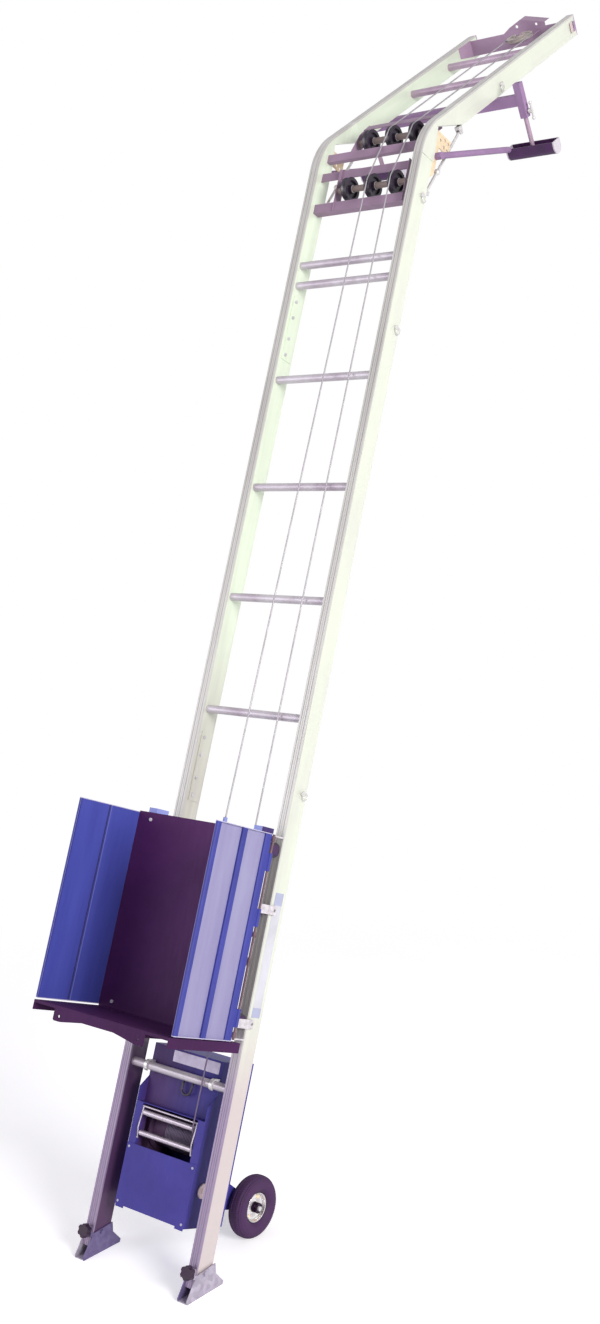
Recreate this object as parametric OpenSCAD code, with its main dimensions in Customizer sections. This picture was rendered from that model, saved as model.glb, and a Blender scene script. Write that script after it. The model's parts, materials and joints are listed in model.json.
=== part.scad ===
// Material hoist: a leaning aluminium ladder track with a rope winch at its foot, a load carriage
// with side wings, a bent knee with rope sheaves, a head sheave and two roof supports.
// Millimetres, Z up, X along the rungs, the track leans towards +Y and stands on Z = 0, with the
// origin under the middle of the whole hoist.

/* [Track] */
// lean of the track from upright, degrees
lean = 18.6; // [12:0.1:26]
// clear width between the two rails
clear_w = 520; // [480:1:580]
// width of a rail, with its front lip
rail_w = 42; // [38:1:52]
// depth of a rail from front to back
rail_d = 99; // [90:1:115]
// wall of the hollow rail
rail_wall = 2.5; // [2:0.5:5]
// outward lip along the front of a rail
lip = 5; // [4:0.5:7]
// thickness of the front lip
lip_t = 8; // [6:0.5:12]
// rung axis behind the front of the rails
rung_back = 33.5; // [28:0.5:42]
// spacing of the rungs
rung_pitch = 500; // [460:5:540]
// diameter of a rung
rung_d = 35; // [28:1:40]
// length of one track section
section_l = 2000; // [1960:10:2100]
// start of the lowest rails, measured up the track
base_s = 37; // [34:1:45]

/* [Knee and head] */
// bend of the head against the track, degrees
bend = 40.5; // [34:0.5:46]
// length of the knee section up to its bend
knee_l = 870; // [850:5:920]
// outer radius of the bend
knee_r = 300; // [240:5:340]
// length of the knee section past the bend
head_start = 300; // [285:5:340]
// end of the head rails past the bend
head_end = 1520; // [1480:10:1700]
// depth of the head rungs under the front of the rails
head_rung_back = 56; // [50:1:70]
// place of the roof support along the head
support_h = 630; // [560:5:680]
// length of a support post under the head
post_l = 352; // [330:2:420]
// side distance of the support posts
post_x = 420; // [405:1:460]
// diameter of a roof pad
pad_d = 68; // [56:1:80]
// length of a roof pad
pad_l = 250; // [200:5:260]

/* [Rope] */
// diameter of the rope
rope_d = 7; // [5:0.5:8]
// side place of the rope that goes down to the carriage
rope_x = 40; // [30:1:50]
// spacing of the knee sheaves, also the size of the head sheave
sheave_step = 125; // [115:1:135]
// outer radius of a knee sheave
sheave_r = 53; // [50:1:56]
// width of a sheave
sheave_w = 36; // [28:1:40]
// gap between rope and groove
rope_gap = 0.5; // [0.4:0.1:1]
// turns of rope on the drum
turns = 24; // [16:1:24]
// radius of the drum core
drum_r = 66; // [62:1:70]

/* [Drive] */
// width of the drive housing
house_w = 374; // [360:2:400]
// front of the housing before the rung axis
house_front = 18; // [17:0.5:24]
// back of the housing behind the rung axis
house_back = 220; // [210:1:250]
// bottom of the housing up the track
house_s = 230; // [215:1:240]
// height of the housing
house_h = 650; // [630:5:690]
// sheet thickness
sheet = 3; // [2:0.5:4]

/* [Wheels and feet] */
// diameter of a wheel
wheel_d = 260; // [240:2:280]
// width of a tyre
tyre_w = 80; // [70:1:90]
// middle of a tyre from the centre line
wheel_x = 145; // [140:1:155]
// distance of the axle behind the foot of the track
wheel_y = 527; // [510:1:560]
// length of a sole
sole_l = 206; // [190:1:230]
// foot pivot up the track
foot_s = 95; // [92:1:100]

/* [Carriage] */
// width of the platform
plat_w = 708; // [690:1:760]
// bottom of the platform up the track
plat_s = 985; // [960:5:1100]
// height of the back plate
plat_h = 815; // [780:5:860]
// depth of the wings
plat_d = 348; // [300:2:400]
// front of the back plate before the rung axis
plat_n = 184; // [176:1:200]
// diameter of a carriage roller
roll_d = 60; // [54:1:64]

/* [Hidden] */
$fn = 48;
eps = 0.01;
fit = 0.05;
xi = clear_w/2;
xo = xi + rail_w;
xm = xi + rail_w/2;
body_x = xo - lip;
yf = -rung_back;
yb = yf + rail_d;
splice_1 = base_s + section_l;
splice_2 = base_s + 2*section_l;
knee_s = splice_2 + knee_l;
tan_l = knee_r*tan(bend/2);
first_rung = base_s + 750;
rope_r = rope_d/2;
groove_r = sheave_r - 8;
lay_r = groove_r + rope_r + rope_gap;
low_c = [12, knee_s - 217];
up_h = 126;
up_c = from_head([head_rung_back, up_h]);
side_x = [rope_x - sheave_step, rope_x, rope_x + sheave_step];
head_y = head_rung_back - lay_r;
head_r = sheave_step/2;
head_c = [rope_x + head_r, head_end - 210];
head_w = 24;
drum_c = [110, house_s + 315];
wind_r = drum_r + rope_r + 0.7;
drum_x = 135;
wind_pitch = rope_d + 0.7;
guide_r = 12;
guide_hi = [-8, house_s + 374];
guide_lo = [-8, house_s + 293];
guide_lay = guide_r + rope_r + rope_gap;
guide_x = 140;
house_x = house_w/2;
anchor = [-100, plat_s + plat_h + 35];
axle = from_world([wheel_y, wheel_d/2]);
foot_p = to_world([yf + rail_d/2, foot_s]);
front_y = -plat_n;
post_w = 40;
frame_y = front_y + sheet;
roll_y = yf - roll_d/2 - 0.4;
hinge = [plat_w/2 + 13, front_y + 4];
floor_y = front_y - plat_d - 12;
lip_s = plat_s - 39;
cap_l = 7;
mid_y = (to_world([floor_y, plat_s - 58])[0] + to_world(from_head([rail_d, head_end + cap_l]))[0])/2;

function from_head(q) = [yf + q[1]*sin(bend) + q[0]*cos(bend), knee_s + q[1]*cos(bend) - q[0]*sin(bend)];
function to_world(q) = [q[0]*cos(lean) + q[1]*sin(lean), q[1]*cos(lean) - q[0]*sin(lean)];
function from_world(q) = [q[0]*cos(lean) - q[1]*sin(lean), q[0]*sin(lean) + q[1]*cos(lean)];
function dir(a) = [0, sin(a), cos(a)];
function inward(a) = [0, cos(a), -sin(a)];
// direction of the straight rope between two circles that lie on the same side of it
function run_angle(c1, r1, c2, r2) = let (v = c2 - c1)
    acos((r2 - r1)/norm(v)) - atan2(v[1], v[0]);
function wrap(x, c, r, a0, a1, n, way) = [for (k = [0:n]) let (a = a0 + (a1 - a0)*k/n)
    [[x, c[0], c[1]] - r*inward(a), way*dir(a), inward(a)]];

module on_ground() translate([0, -mid_y, 0]) children();
module on_track() on_ground() rotate([-lean, 0, 0]) children();
module on_head() on_track() translate([0, yf, knee_s]) rotate([-bend, 0, 0]) children();
module both() {
    children();
    mirror([1, 0, 0]) children();
}
module slab(x, w, pts) translate([x, 0, 0]) rotate([90, 0, 90]) linear_extrude(w) polygon(pts);
module rod(x0, x1, q, r) translate([x0, q[0], q[1]]) rotate([0, 90, 0]) cylinder(h = x1 - x0, r = r);
module bar(p, q, r) {
    v = q - p;
    translate(p) rotate([0, acos(v[2]/norm(v)), atan2(v[1], v[0])]) cylinder(h = norm(v), r = r, $fn = 24);
}
module block(a, b) translate(a) cube(b - a);

// Rails
module rail_2d() {
    cell_w = rail_w - lip - 2*rail_wall;
    cell_d = (rail_d - 3*rail_wall)/2;
    difference() {
        union() {
            square([rail_w - lip, rail_d]);
            square([rail_w, lip_t]);
        }
        for (k = [0, 1]) translate([rail_wall, rail_wall + k*(cell_d + rail_wall)]) square([cell_w, cell_d]);
        for (k = [1:3]) translate([k*rail_w/4 - 1, -eps]) square([2, 1.2]);
    }
}
module rail(s0, s1) translate([xi, yf, s0]) linear_extrude(s1 - s0) rail_2d();
module base_rail() on_track() difference() {
    rail(base_s, splice_1);
    rod(xi - 1, xo + 1, [yf + rail_d/2, foot_s], 6 + fit);
}
module left_base_rail() color("silver") mirror([1, 0, 0]) base_rail();
module right_base_rail() color("silver") base_rail();
module left_middle_rail() color("silver") mirror([1, 0, 0]) on_track() rail(splice_1, splice_2);
module right_middle_rail() color("silver") on_track() rail(splice_1, splice_2);
module knee_rail() {
    bend_c = [yf + knee_r, knee_s - tan_l];
    wall = 2*rail_wall;
    on_track() rail(splice_2, knee_s - tan_l + 1);
    on_track() difference() {
        slab(xi, rail_w, [[yf, knee_s - tan_l], [yf, knee_s], from_head([0, head_start]),
            from_head([rail_d, head_start]), from_head([30, 95]), [yb, knee_s - 50], [yb, knee_s - tan_l]]);
        slab(xi + rail_wall, rail_w - lip - 2*rail_wall, [[yf + 30, knee_s - tan_l - 1],
            [yf + 30, knee_s - 10], from_head([wall, 90]), from_head([wall, head_start - wall]),
            from_head([rail_d - wall, head_start - wall]), from_head([30 - wall, 95 + wall]),
            [yb - wall, knee_s - 50 - wall], [yb - wall, knee_s - tan_l - 1]]);
        difference() {
            slab(xi - 1, rail_w + 2, [bend_c, [yf - 5, knee_s - tan_l], [yf - 5, knee_s],
                from_head([-5, 0]), from_head([-5, tan_l])]);
            rod(xi - 2, xo + 2, bend_c, knee_r, $fn = 96);
        }
    }
}
module left_knee_rail() color("silver") mirror([1, 0, 0]) knee_rail();
module right_knee_rail() color("silver") knee_rail();
module head_rail() on_head() translate([xi, 0, head_start]) linear_extrude(head_end - head_start) rail_2d();
module left_head_rail() color("silver") mirror([1, 0, 0]) head_rail();
module right_head_rail() color("silver") head_rail();
module rail_caps() color("dimgray") both() on_head() difference() {
    block([xi, 0, head_end], [body_x, rail_d, head_end + cap_l]);
    for (k = [0, 1]) translate([0, k*rail_d/2, head_end])
        block([xi + 5, 5, 2], [body_x - 5, rail_d/2 - 5, cap_l + 1]);
}

// Rungs and joints of the track
module rung() difference() {
    rod(-xi, xi, [0, 0], rung_d/2);
    rod(-xi - 1, xi + 1, [0, 0], rung_d/2 - 2.5);
}
module track_rungs() color("silver") on_track() {
    for (k = [0:6]) translate([0, 0, first_rung + k*rung_pitch]) rung();
    for (s = [199, 296]) translate([0, 0, splice_2 + s]) rung();
}
module head_rungs() color("silver") on_head() for (h = [head_start + 517, head_end - 320])
    translate([0, head_rung_back, h]) rung();
module splice_plates() color("gray") both() on_track() for (s = [splice_1, splice_2])
    block([xi - 4, yf + 22, s - 150], [xi, yb - 12, s + 150]);
module splice_bolts() color("gray") both() on_track() for (s = [splice_1, splice_2], d = [-125, -50, 50, 125])
    rod(xi - 9, xi - 4, [yf + 40, s + d], 8, $fn = 6);
module ring_clip(q) {
    rod(body_x, body_x + 9, q, 8);
    rod(body_x + 9, body_x + 13, q, 11);
    translate([body_x + 8, q[0] + 17, q[1] - 10]) rotate([0, 90, 0]) rotate_extrude()
        translate([15, 0]) circle(2.2, $fn = 16);
}
module ring_clips() color("gainsboro") both() on_track() {
    for (s = [splice_1 - 50, splice_2 - 25, knee_s - 284]) ring_clip([yf + 66, s]);
    ring_clip(from_head([55, 691]));
}

// Head
head_wall = head_end - 70;
sheet_t = 3.5;
module head_plate() color("slategray") on_head() {
    block([-xi, 8, head_wall], [xi, 84, head_wall + sheet_t]);
    block([-xi, 84 - sheet_t, head_wall], [xi, 84, head_wall + 30]);
    both() slab(xi - sheet_t, sheet_t, [[6, head_wall - 124], [56, head_wall - 124], [84, head_wall - 9],
        [84, head_wall + sheet_t], [6, head_wall + sheet_t]]);
    back = head_y + head_w/2 + 2;
    block([head_c[0] - 40, back, head_c[1] - 40], [head_c[0] + 40, back + 5, head_wall + 1]);
    translate([head_c[0], back, head_c[1]]) rotate([90, 0, 0]) {
        cylinder(h = head_w + 8, r = 10);
        cylinder(h = 1.5, r = 18);
        translate([0, 0, head_w + 2.5]) cylinder(h = 6, r = 16, $fn = 6);
    }
}
module sheave_hood() color("slategray") on_head() {
    roof = [[-60, 8], [-20, -16], [48, -44], [177, -10], [177, 8]];
    translate([0, 0, head_wall]) linear_extrude(4) difference() {
        polygon(roof);
        translate([22, -14]) circle(8);
        translate([130, -8]) circle(7);
    }
    translate([0, 0, head_wall]) linear_extrude(60) difference() {
        polygon([for (k = [0:3]) roof[k]]);
        polygon([for (k = [0:3]) roof[k] + [0, 4]]);
        translate([-100, 4]) square(300);
    }
}
module sheave(r, w, bore, holes) difference() {
    union() {
        cylinder(h = w, r = bore + 12, center = true);
        cylinder(h = 9, r = r - 2, center = true);
        rotate_extrude() translate([r - 14, -w/2 + 4]) square([14, w - 8]);
    }
    rotate_extrude($fn = 64)
        polygon([[r - 8, -rope_r - 0.4], [r + 1, -w/3], [r + 1, w/3], [r - 8, rope_r + 0.4]]);
    translate([0, 0, -w]) cylinder(h = 2*w, r = bore + fit);
    for (k = [1:holes]) rotate([0, 0, k*360/holes]) translate([(r + bore)/2 - 1, 0, -w])
        cylinder(h = 2*w, r = 6.5);
}
module head_sheave() color("dimgray") on_head() translate([head_c[0], head_y, head_c[1]])
    rotate([90, 0, 0]) sheave(head_r + 8 - rope_r - rope_gap, head_w, 10, 6);

// Knee sheaves and their cages
module spacer(x0, x1) difference() {
    rod(x0, x1, [0, 0], 14);
    rod(x0 + 3, x1 - 3, [0, 0], 11);
}
module cage_rods(x0, x1) {
    rod(x0, x1, [0, 0], 8);
    spacer(x0, side_x[0] - sheave_w/2 - 0.5);
    for (k = [0, 1]) spacer(side_x[k] + sheave_w/2 + 0.5, side_x[k + 1] - sheave_w/2 - 0.5);
    spacer(side_x[2] + sheave_w/2 + 0.5, x1);
}
cage_l = side_x[0] - 62;
cage_r = side_x[2] + 58;
module lower_sheave_cage() color("slategray") on_track() {
    block([-xi, 0, low_c[1] - 100], [xi, sheet_t, low_c[1] - 58]);
    block([-xi, 0, low_c[1] - 100], [xi, 40, low_c[1] - 100 + sheet_t]);
    block([-xi, 10, low_c[1] + 58], [xi, 10 + sheet_t, low_c[1] + 98]);
    for (x = [cage_l - sheet_t, cage_r])
        block([x, -6, low_c[1] - 100], [x + sheet_t, 40, low_c[1] + 98]);
    translate([0, low_c[0], low_c[1]]) cage_rods(cage_l - 12, cage_r + 12);
}
module upper_sheave_cage() color("slategray") {
    on_track() difference() {
        block([-xi, 22, knee_s - 56], [xi, 46, knee_s - 19]);
        block([-xi - 1, 22 + tube_wall, knee_s - 56 + tube_wall],
            [xi + 1, 46 - tube_wall, knee_s - 19 - tube_wall]);
    }
    on_head() block([cage_l - 2, 15, up_h + 58], [xi, 15 + sheet_t, up_h + 109]);
    on_track() for (x = [cage_l - sheet_t, cage_r])
        slab(x, sheet_t, [[22, knee_s - 56], [46, knee_s - 56], from_head([82, up_h - 30]),
            from_head([82, up_h + 112]), from_head([14, up_h + 112]), from_head([22, up_h + 20])]);
    on_head() translate([0, head_rung_back, up_h]) cage_rods(cage_l - 12, cage_r + 12);
}
module low_sheave(k) color("dimgray") on_track() translate([side_x[k], low_c[0], low_c[1]]) rotate([0, 90, 0])
    sheave(sheave_r, sheave_w, 8, 4);
module up_sheave(k) color("dimgray") on_track() translate([side_x[k], up_c[0], up_c[1]]) rotate([0, 90, 0])
    sheave(sheave_r, sheave_w, 8, 4);
module lower_left_sheave() low_sheave(0);
module lower_middle_sheave() low_sheave(1);
module lower_right_sheave() low_sheave(2);
module upper_left_sheave() up_sheave(0);
module upper_middle_sheave() up_sheave(1);
module upper_right_sheave() up_sheave(2);
module knee_gussets() color("goldenrod") both() on_track() difference() {
    union() {
        slab(body_x - 8, 6, [[yb, knee_s - 187], [yb + 30, knee_s - 150], [yb + 30, knee_s - 25],
            [yb + 108, knee_s - 30], [yb + 108, knee_s + 42], [yb, knee_s + 42], [yb, knee_s - 187]]);
        block([xi + 3, yb, knee_s - 180], [body_x - 2, yb + 4, knee_s - 52]);
    }
    for (q = [[30, 10], [62, 25], [90, 22], [62, -8], [90, -10]])
        rod(body_x - 20, body_x, [yb + q[0], knee_s + q[1]], 7);
}
strut_a = [yb + 24, knee_s - 242];
strut_b = from_head([rail_d + 24, head_start - 12]);
module strut_lug(q, a) translate([0, q[0], q[1]]) rotate([-a, 0, 0]) difference() {
    slab(xi + 4, 22, [[-24, -16], [13, -10], [13, 10], [-24, 16]]);
    block([xi + 8, -12, -20], [xi + 22, 20, 20]);
}
module knee_struts() color("gainsboro") both() on_track() {
    strut_lug(strut_a, 0);
    strut_lug(strut_b, bend);
    for (q = [strut_a, strut_b]) rod(xi + 1, xi + 29, q, 5);
    bar([xi + 15, strut_a[0], strut_a[1]], [xi + 15, strut_b[0], strut_b[1]], 6.5);
    translate([xi + 15, (2*strut_a[0] + strut_b[0])/3, (2*strut_a[1] + strut_b[1])/3]) sphere(14);
}

// Roof support
tube_wall = 2;
sleeve = 34;
module support_tube() color("slategray") on_head() {
    both() difference() {
        block([post_x - sleeve/2, 48, support_h - sleeve/2], [post_x + sleeve/2, 206, support_h + sleeve/2]);
        translate([post_x, 40, support_h]) rotate([-90, 0, 0]) cylinder(h = 180, r = post_r + 0.5);
    }
    difference() {
        block([-post_x + sleeve/2, rail_d, support_h - 15], [post_x - sleeve/2, rail_d + 50, support_h + 15]);
        block([-post_x, rail_d + tube_wall, support_h - 15 + tube_wall],
            [post_x, rail_d + 50 - tube_wall, support_h + 15 - tube_wall]);
    }
}
post_r = 10.5;
pad_y = post_l + 6;
pad_wall = 6;
post_end = pad_y + sqrt(pow(pad_d/2 - pad_wall, 2) - pow(post_r, 2)) - 0.3;
module support_posts() color("gainsboro") both() on_head() difference() {
    translate([post_x, 56, support_h]) rotate([-90, 0, 0]) cylinder(h = post_end - 56, r = post_r);
    translate([post_x, 55, support_h]) rotate([-90, 0, 0]) cylinder(h = post_end, r = post_r - 2.5);
}
// trough-shaped pads with closed ends, open towards the head
module pad_2d(r) {
    intersection() {
        translate([pad_y, 0]) circle(r);
        translate([pad_y - 1, -r]) square([r + 1, 2*r]);
    }
    translate([pad_y - 28, -r]) square([28, 2*r]);
}
module roof_pads() color("dimgray") both() on_head() translate([post_x - pad_l/2, 0, support_h])
    rotate([90, 0, 90]) difference() {
        linear_extrude(pad_l) pad_2d(pad_d/2);
        translate([0, 0, pad_wall]) linear_extrude(pad_l - 2*pad_wall) pad_2d(pad_d/2 - pad_wall);
        translate([pad_y - 29, -pad_d/2 + pad_wall, pad_wall])
            cube([4, pad_d - 2*pad_wall, pad_l - 2*pad_wall]);
    }
stay_r = 14;
stay_a = [yb + 22, knee_s - 72];
stay_b = from_head([post_l - 10, support_h]);
module support_stays() color("slategray") both() on_track() difference() {
    union() {
        bar([body_x + 15, stay_a[0], stay_a[1]], [body_x + 15, stay_b[0], stay_b[1]], stay_r);
        rod(body_x - 2, body_x + 30, stay_a, 16);
    }
    bar([body_x + 15, stay_a[0], stay_a[1]], [body_x + 15, stay_b[0], stay_b[1]], stay_r - 2.5);
    translate([0, yf, knee_s]) rotate([-bend, 0, 0])
        block([0, 200, support_h - pad_d/2], [post_x, post_l + 200, head_end]);
}
module clamp_screw() on_head() translate([post_x + sleeve/2 + 1, 180, support_h]) rotate([0, 90, 0]) {
    cylinder(h = 26, r = 6);
    translate([0, 0, 8]) cylinder(h = 12, r = 12);
    translate([0, 0, 22]) rotate([90, 0, 0]) cylinder(h = 70, r = 4.5, center = true);
    translate([0, 35, 22]) sphere(8);
    translate([0, -35, 22]) sphere(8);
}
module left_clamp() color("gainsboro") mirror([1, 0, 0]) clamp_screw();
module right_clamp() color("gainsboro") clamp_screw();

// Drive
house_top = house_s + house_h;
panel_s = house_s + 410;
cover_s = house_s + 245;
wall_pts = [[-house_front, house_s], [house_back, house_s], [house_back, house_top], [26, house_top],
    [26, first_rung - 42], [-house_front, first_rung - 86]];
module drive_housing() color("royalblue") on_track() {
    both() difference() {
        slab(house_x - sheet, sheet, wall_pts);
        rod(house_x - 10, house_x + 10, drum_c, 15 + fit);
    }
    block([-house_x, house_back - sheet, house_s], [house_x, house_back, house_top]);
    block([-house_x, -house_front, house_s], [house_x, house_back, house_s + sheet]);
    block([-house_x, 26, house_top - sheet], [house_x, house_back, house_top]);
    block([-house_x, 26, panel_s], [house_x, 26 + sheet, house_top]);
    block([-house_x + sheet, -house_front, panel_s], [house_x - sheet, 26 + sheet, panel_s + sheet]);
    both() difference() {
        union() {
            block([guide_x + 10, -house_front, cover_s - 40],
                [house_x - sheet + eps, -house_front + sheet, panel_s + eps]);
            block([guide_x + 10, -house_front, cover_s - 40], [guide_x + 13, 22, panel_s + eps]);
        }
        for (q = [guide_hi, guide_lo]) rod(guide_x, house_x, q, 4 + fit);
    }
    difference() {
        rod(house_x - 22, house_x - sheet + eps, drum_c, 28);
        rod(house_x - 40, house_x + 10, drum_c, 15 + fit);
    }
}
module front_cover() color("royalblue") on_track() {
    block([-house_x, -house_front - sheet, house_s], [house_x, -house_front, cover_s]);
    both() block([house_x - 46, -house_front - sheet, house_s - 9],
        [house_x - 4, -house_front, house_s + eps]);
    block([-guide_x - 9, -house_front, cover_s - sheet], [guide_x + 9, -house_front + 4, cover_s]);
    for (x = [-1, 1], s = [house_s + 14, cover_s - 14])
        translate([x*(house_x - 14), -house_front - sheet, s]) rotate([90, 0, 0]) cylinder(h = 3, r = 5);
}
gear_x = -house_x + sheet;
module gear_motor() color("slategray") on_track() difference() {
    union() {
        block([gear_x, 45, house_s + 20], [gear_x + 50, house_back - 45, panel_s - 10]);
        rod(gear_x + 50, gear_x + 290, [110, house_s + 110], 68);
        for (k = [0:9]) rod(gear_x + 70 + 18*k, gear_x + 76 + 18*k, [110, house_s + 110], 75);
        rod(gear_x + 290, gear_x + 330, [110, house_s + 110], 76);
        block([gear_x + 110, 35, house_s + 176], [gear_x + 230, 130, house_s + 208]);
        block([gear_x + 90, 60, house_s + sheet], [gear_x + 250, 160, house_s + 50]);
    }
    rod(gear_x - 1, gear_x + 51, drum_c, 15 + fit);
}
drum_a = gear_x + 55;
drum_b = house_x - 26;
module rope_drum() color("dimgray") on_track() {
    rod(gear_x + 2, house_x - 1, drum_c, 15);
    rod(drum_a, drum_b, drum_c, drum_r);
    for (x = [drum_a, drum_b - 5]) rod(x, x + 5, drum_c, drum_r + 20);
}
// one unbroken rope helix laid round the drum core, with straight ends
out_a = run_angle(drum_c, wind_r, guide_hi, guide_lay);
wind_n = 24*turns;
wind_path = [for (k = [0:wind_n]) let (a = out_a - 360*(wind_n - k)/24)
    [[drum_x - wind_pitch*(wind_n - k)/24, drum_c[0], drum_c[1]] - wind_r*inward(a), dir(a), inward(a)]];
wind_all = concat([[wind_path[0][0] - rope_d*wind_path[0][1], wind_path[0][1], wind_path[0][2]]], wind_path,
    [[wind_path[wind_n][0] + rope_d*wind_path[wind_n][1], wind_path[wind_n][1], wind_path[wind_n][2]]]);
wind_gap = min([for (k = [0:wind_n - 24]) norm(wind_path[k + 24][0] - wind_path[k][0])]) - rope_d;
echo(str("least gap between turns of the rope winding, mm: ", wind_gap));
module tube(path, r, sides) {
    n = len(path);
    pts = [for (p = path, k = [0:sides - 1]) let (b = cross(p[1], p[2]), a = 360*k/sides)
        p[0] + r*(cos(a)*p[2] + sin(a)*b)];
    skin = [for (i = [0:n - 2], k = [0:sides - 1]) let (a = i*sides + k, b = i*sides + (k + 1)%sides)
        each [[a, a + sides, b + sides], [a, b + sides, b]]];
    polyhedron(pts, concat(skin, [[for (k = [0:sides - 1]) k]],
        [[for (k = [0:sides - 1]) n*sides - 1 - k]]), convexity = 10);
}
module rope_winding() color("darkgray") on_track() tube(wind_all, rope_r, 6);
module guide_roller(q) color("gainsboro") on_track() {
    rod(-guide_x, guide_x, q, guide_r);
    rod(-guide_x - 13, guide_x + 13, q, 4);
}
module upper_guide_roller() guide_roller(guide_hi);
module lower_guide_roller() guide_roller(guide_lo);
module guide_frame() color("gainsboro") on_track() {
    x = guide_x + 5;
    rod(-guide_x - 10, guide_x + 10, [-13, guide_hi[1] + 24], 4);
    both() {
        bar([x, -13, guide_hi[1] + 24], [x, -19, guide_hi[1] - 26], 3);
        bar([x, -19, guide_hi[1] - 26], [x, -24, guide_lo[1] + 20], 3);
        bar([x, -24, guide_lo[1] + 20], [x, -16, guide_lo[1] - 20], 3);
        bar([x, -16, guide_lo[1] - 20], [guide_x + 10, -16, guide_lo[1] - 20], 2.5);
        translate([x, -13, guide_hi[1] + 24]) sphere(4.6);
        translate([x, -19, guide_hi[1] - 26]) sphere(3.5);
        translate([x, -24, guide_lo[1] + 20]) sphere(3.5);
        translate([x, -16, guide_lo[1] - 20]) sphere(3.5);
    }
}
module rung_hooks() color("royalblue") both() on_track() difference() {
    union() {
        rod(house_x - 18, house_x - sheet, [0, first_rung], rung_d/2 + 7);
        block([house_x - 18, 0, first_rung], [house_x - sheet, 26, first_rung + rung_d/2 + 7]);
    }
    rod(house_x - 30, house_x + 10, [0, first_rung], rung_d/2 + 0.4);
    block([house_x - 30, -10, first_rung - 40], [house_x + 10, 40, first_rung]);
}

// Rope
low_run = run_angle(guide_hi, guide_lay, low_c, lay_r);
knee_run = run_angle(low_c, lay_r, up_c, lay_r);
car_run = run_angle(anchor, 0, low_c, lay_r);
loop_n = [0, cos(bend), -sin(bend)];
head_loop = [for (k = [0:18]) let (b = 10*k, h = head_c[1] + head_r*sin(b), q = from_head([head_y, h]))
    [[head_c[0] + head_r*cos(b), q[0], q[1]], [-sin(b), cos(b)*sin(bend), cos(b)*cos(bend)], loop_n]];
out_p = [drum_x, drum_c[0], drum_c[1]] - wind_r*inward(out_a);
hoist_path = concat([[out_p + (rope_d + 1)*dir(out_a), dir(out_a), inward(out_a)]],
    wrap(drum_x, guide_hi, guide_lay, out_a, low_run, 5, 1),
    wrap(side_x[2], low_c, lay_r, low_run, knee_run, 3, 1),
    wrap(side_x[2], up_c, lay_r, knee_run, bend, 4, 1), head_loop,
    wrap(side_x[1], up_c, lay_r, bend, knee_run, 4, -1),
    wrap(side_x[1], low_c, lay_r, knee_run, car_run, 3, -1));
module hoist_rope() color("darkgray") on_track() tube(hoist_path, rope_r, 8);
car_top = [side_x[1], low_c[0], low_c[1]] - lay_r*inward(car_run);
module carriage_rope() color("darkgray") on_track()
    bar([side_x[1], anchor[0], anchor[1]], car_top - 0.5*dir(car_run), rope_r);

// Wheels
module wheel_frame() color("royalblue") on_track() {
    both() difference() {
        union() {
            slab(wheel_x - tyre_w/2 - 14, 5, [[house_back, house_s + 40], [house_back, house_s + 190],
                [axle[0] + 10, axle[1] + 28], [axle[0], axle[1] - 28]]);
            rod(wheel_x - tyre_w/2 - 14, wheel_x - tyre_w/2 - 9, axle, 28);
        }
        rod(0, wheel_x, axle, 10 - eps);
    }
    block([-wheel_x + tyre_w/2 + 10, house_back, house_s + 60],
        [wheel_x - tyre_w/2 - 10, house_back + 5, house_s + 170]);
    rod(-wheel_x - tyre_w/2 - 2, wheel_x + tyre_w/2 + 2, axle, 10);
}
module on_wheel() on_ground() translate([wheel_x, wheel_y, wheel_d/2]) rotate([0, 90, 0]) children();
rim_r = wheel_d/2 - 68;
module tyre() on_wheel() rotate_extrude($fn = 96) difference() {
    union() {
        for (z = [-1, 1]) translate([wheel_d/2 - 35, z*(tyre_w/2 - 35)]) circle(35);
        translate([rim_r, -tyre_w/2 + 20]) square([40, tyre_w - 40]);
        translate([wheel_d/2 - 35, -tyre_w/2 + 35]) square([35, tyre_w - 70]);
    }
    translate([0, -tyre_w]) square([rim_r, 2*tyre_w]);
    for (z = [-18, 0, 18]) translate([wheel_d/2 - 6, z - 1.5]) square([10, 3]);
}
module rim() on_wheel() difference() {
    union() {
        rotate_extrude($fn = 96) translate([rim_r - 4, -tyre_w/2 + 12]) square([4, tyre_w - 24]);
        for (z = [-1, 1]) translate([0, 0, z*(tyre_w/2 - 16)]) rotate_extrude($fn = 96)
            translate([rim_r - 4, -4]) square([4, 8]);
        cylinder(h = tyre_w - 8, r = 21, center = true);
        translate([0, 0, 2]) cylinder(h = 4, r = rim_r - 2);
    }
    cylinder(h = 2*tyre_w, r = 10 + fit, center = true);
    for (k = [0:3]) rotate([0, 0, 45 + 90*k]) translate([rim_r - 22, 0, -20]) cylinder(h = 60, r = 5);
}
module left_tyre() color("dimgray") mirror([1, 0, 0]) tyre();
module right_tyre() color("dimgray") tyre();
module left_rim() color("gainsboro") mirror([1, 0, 0]) rim();
module right_rim() color("gainsboro") rim();

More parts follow.
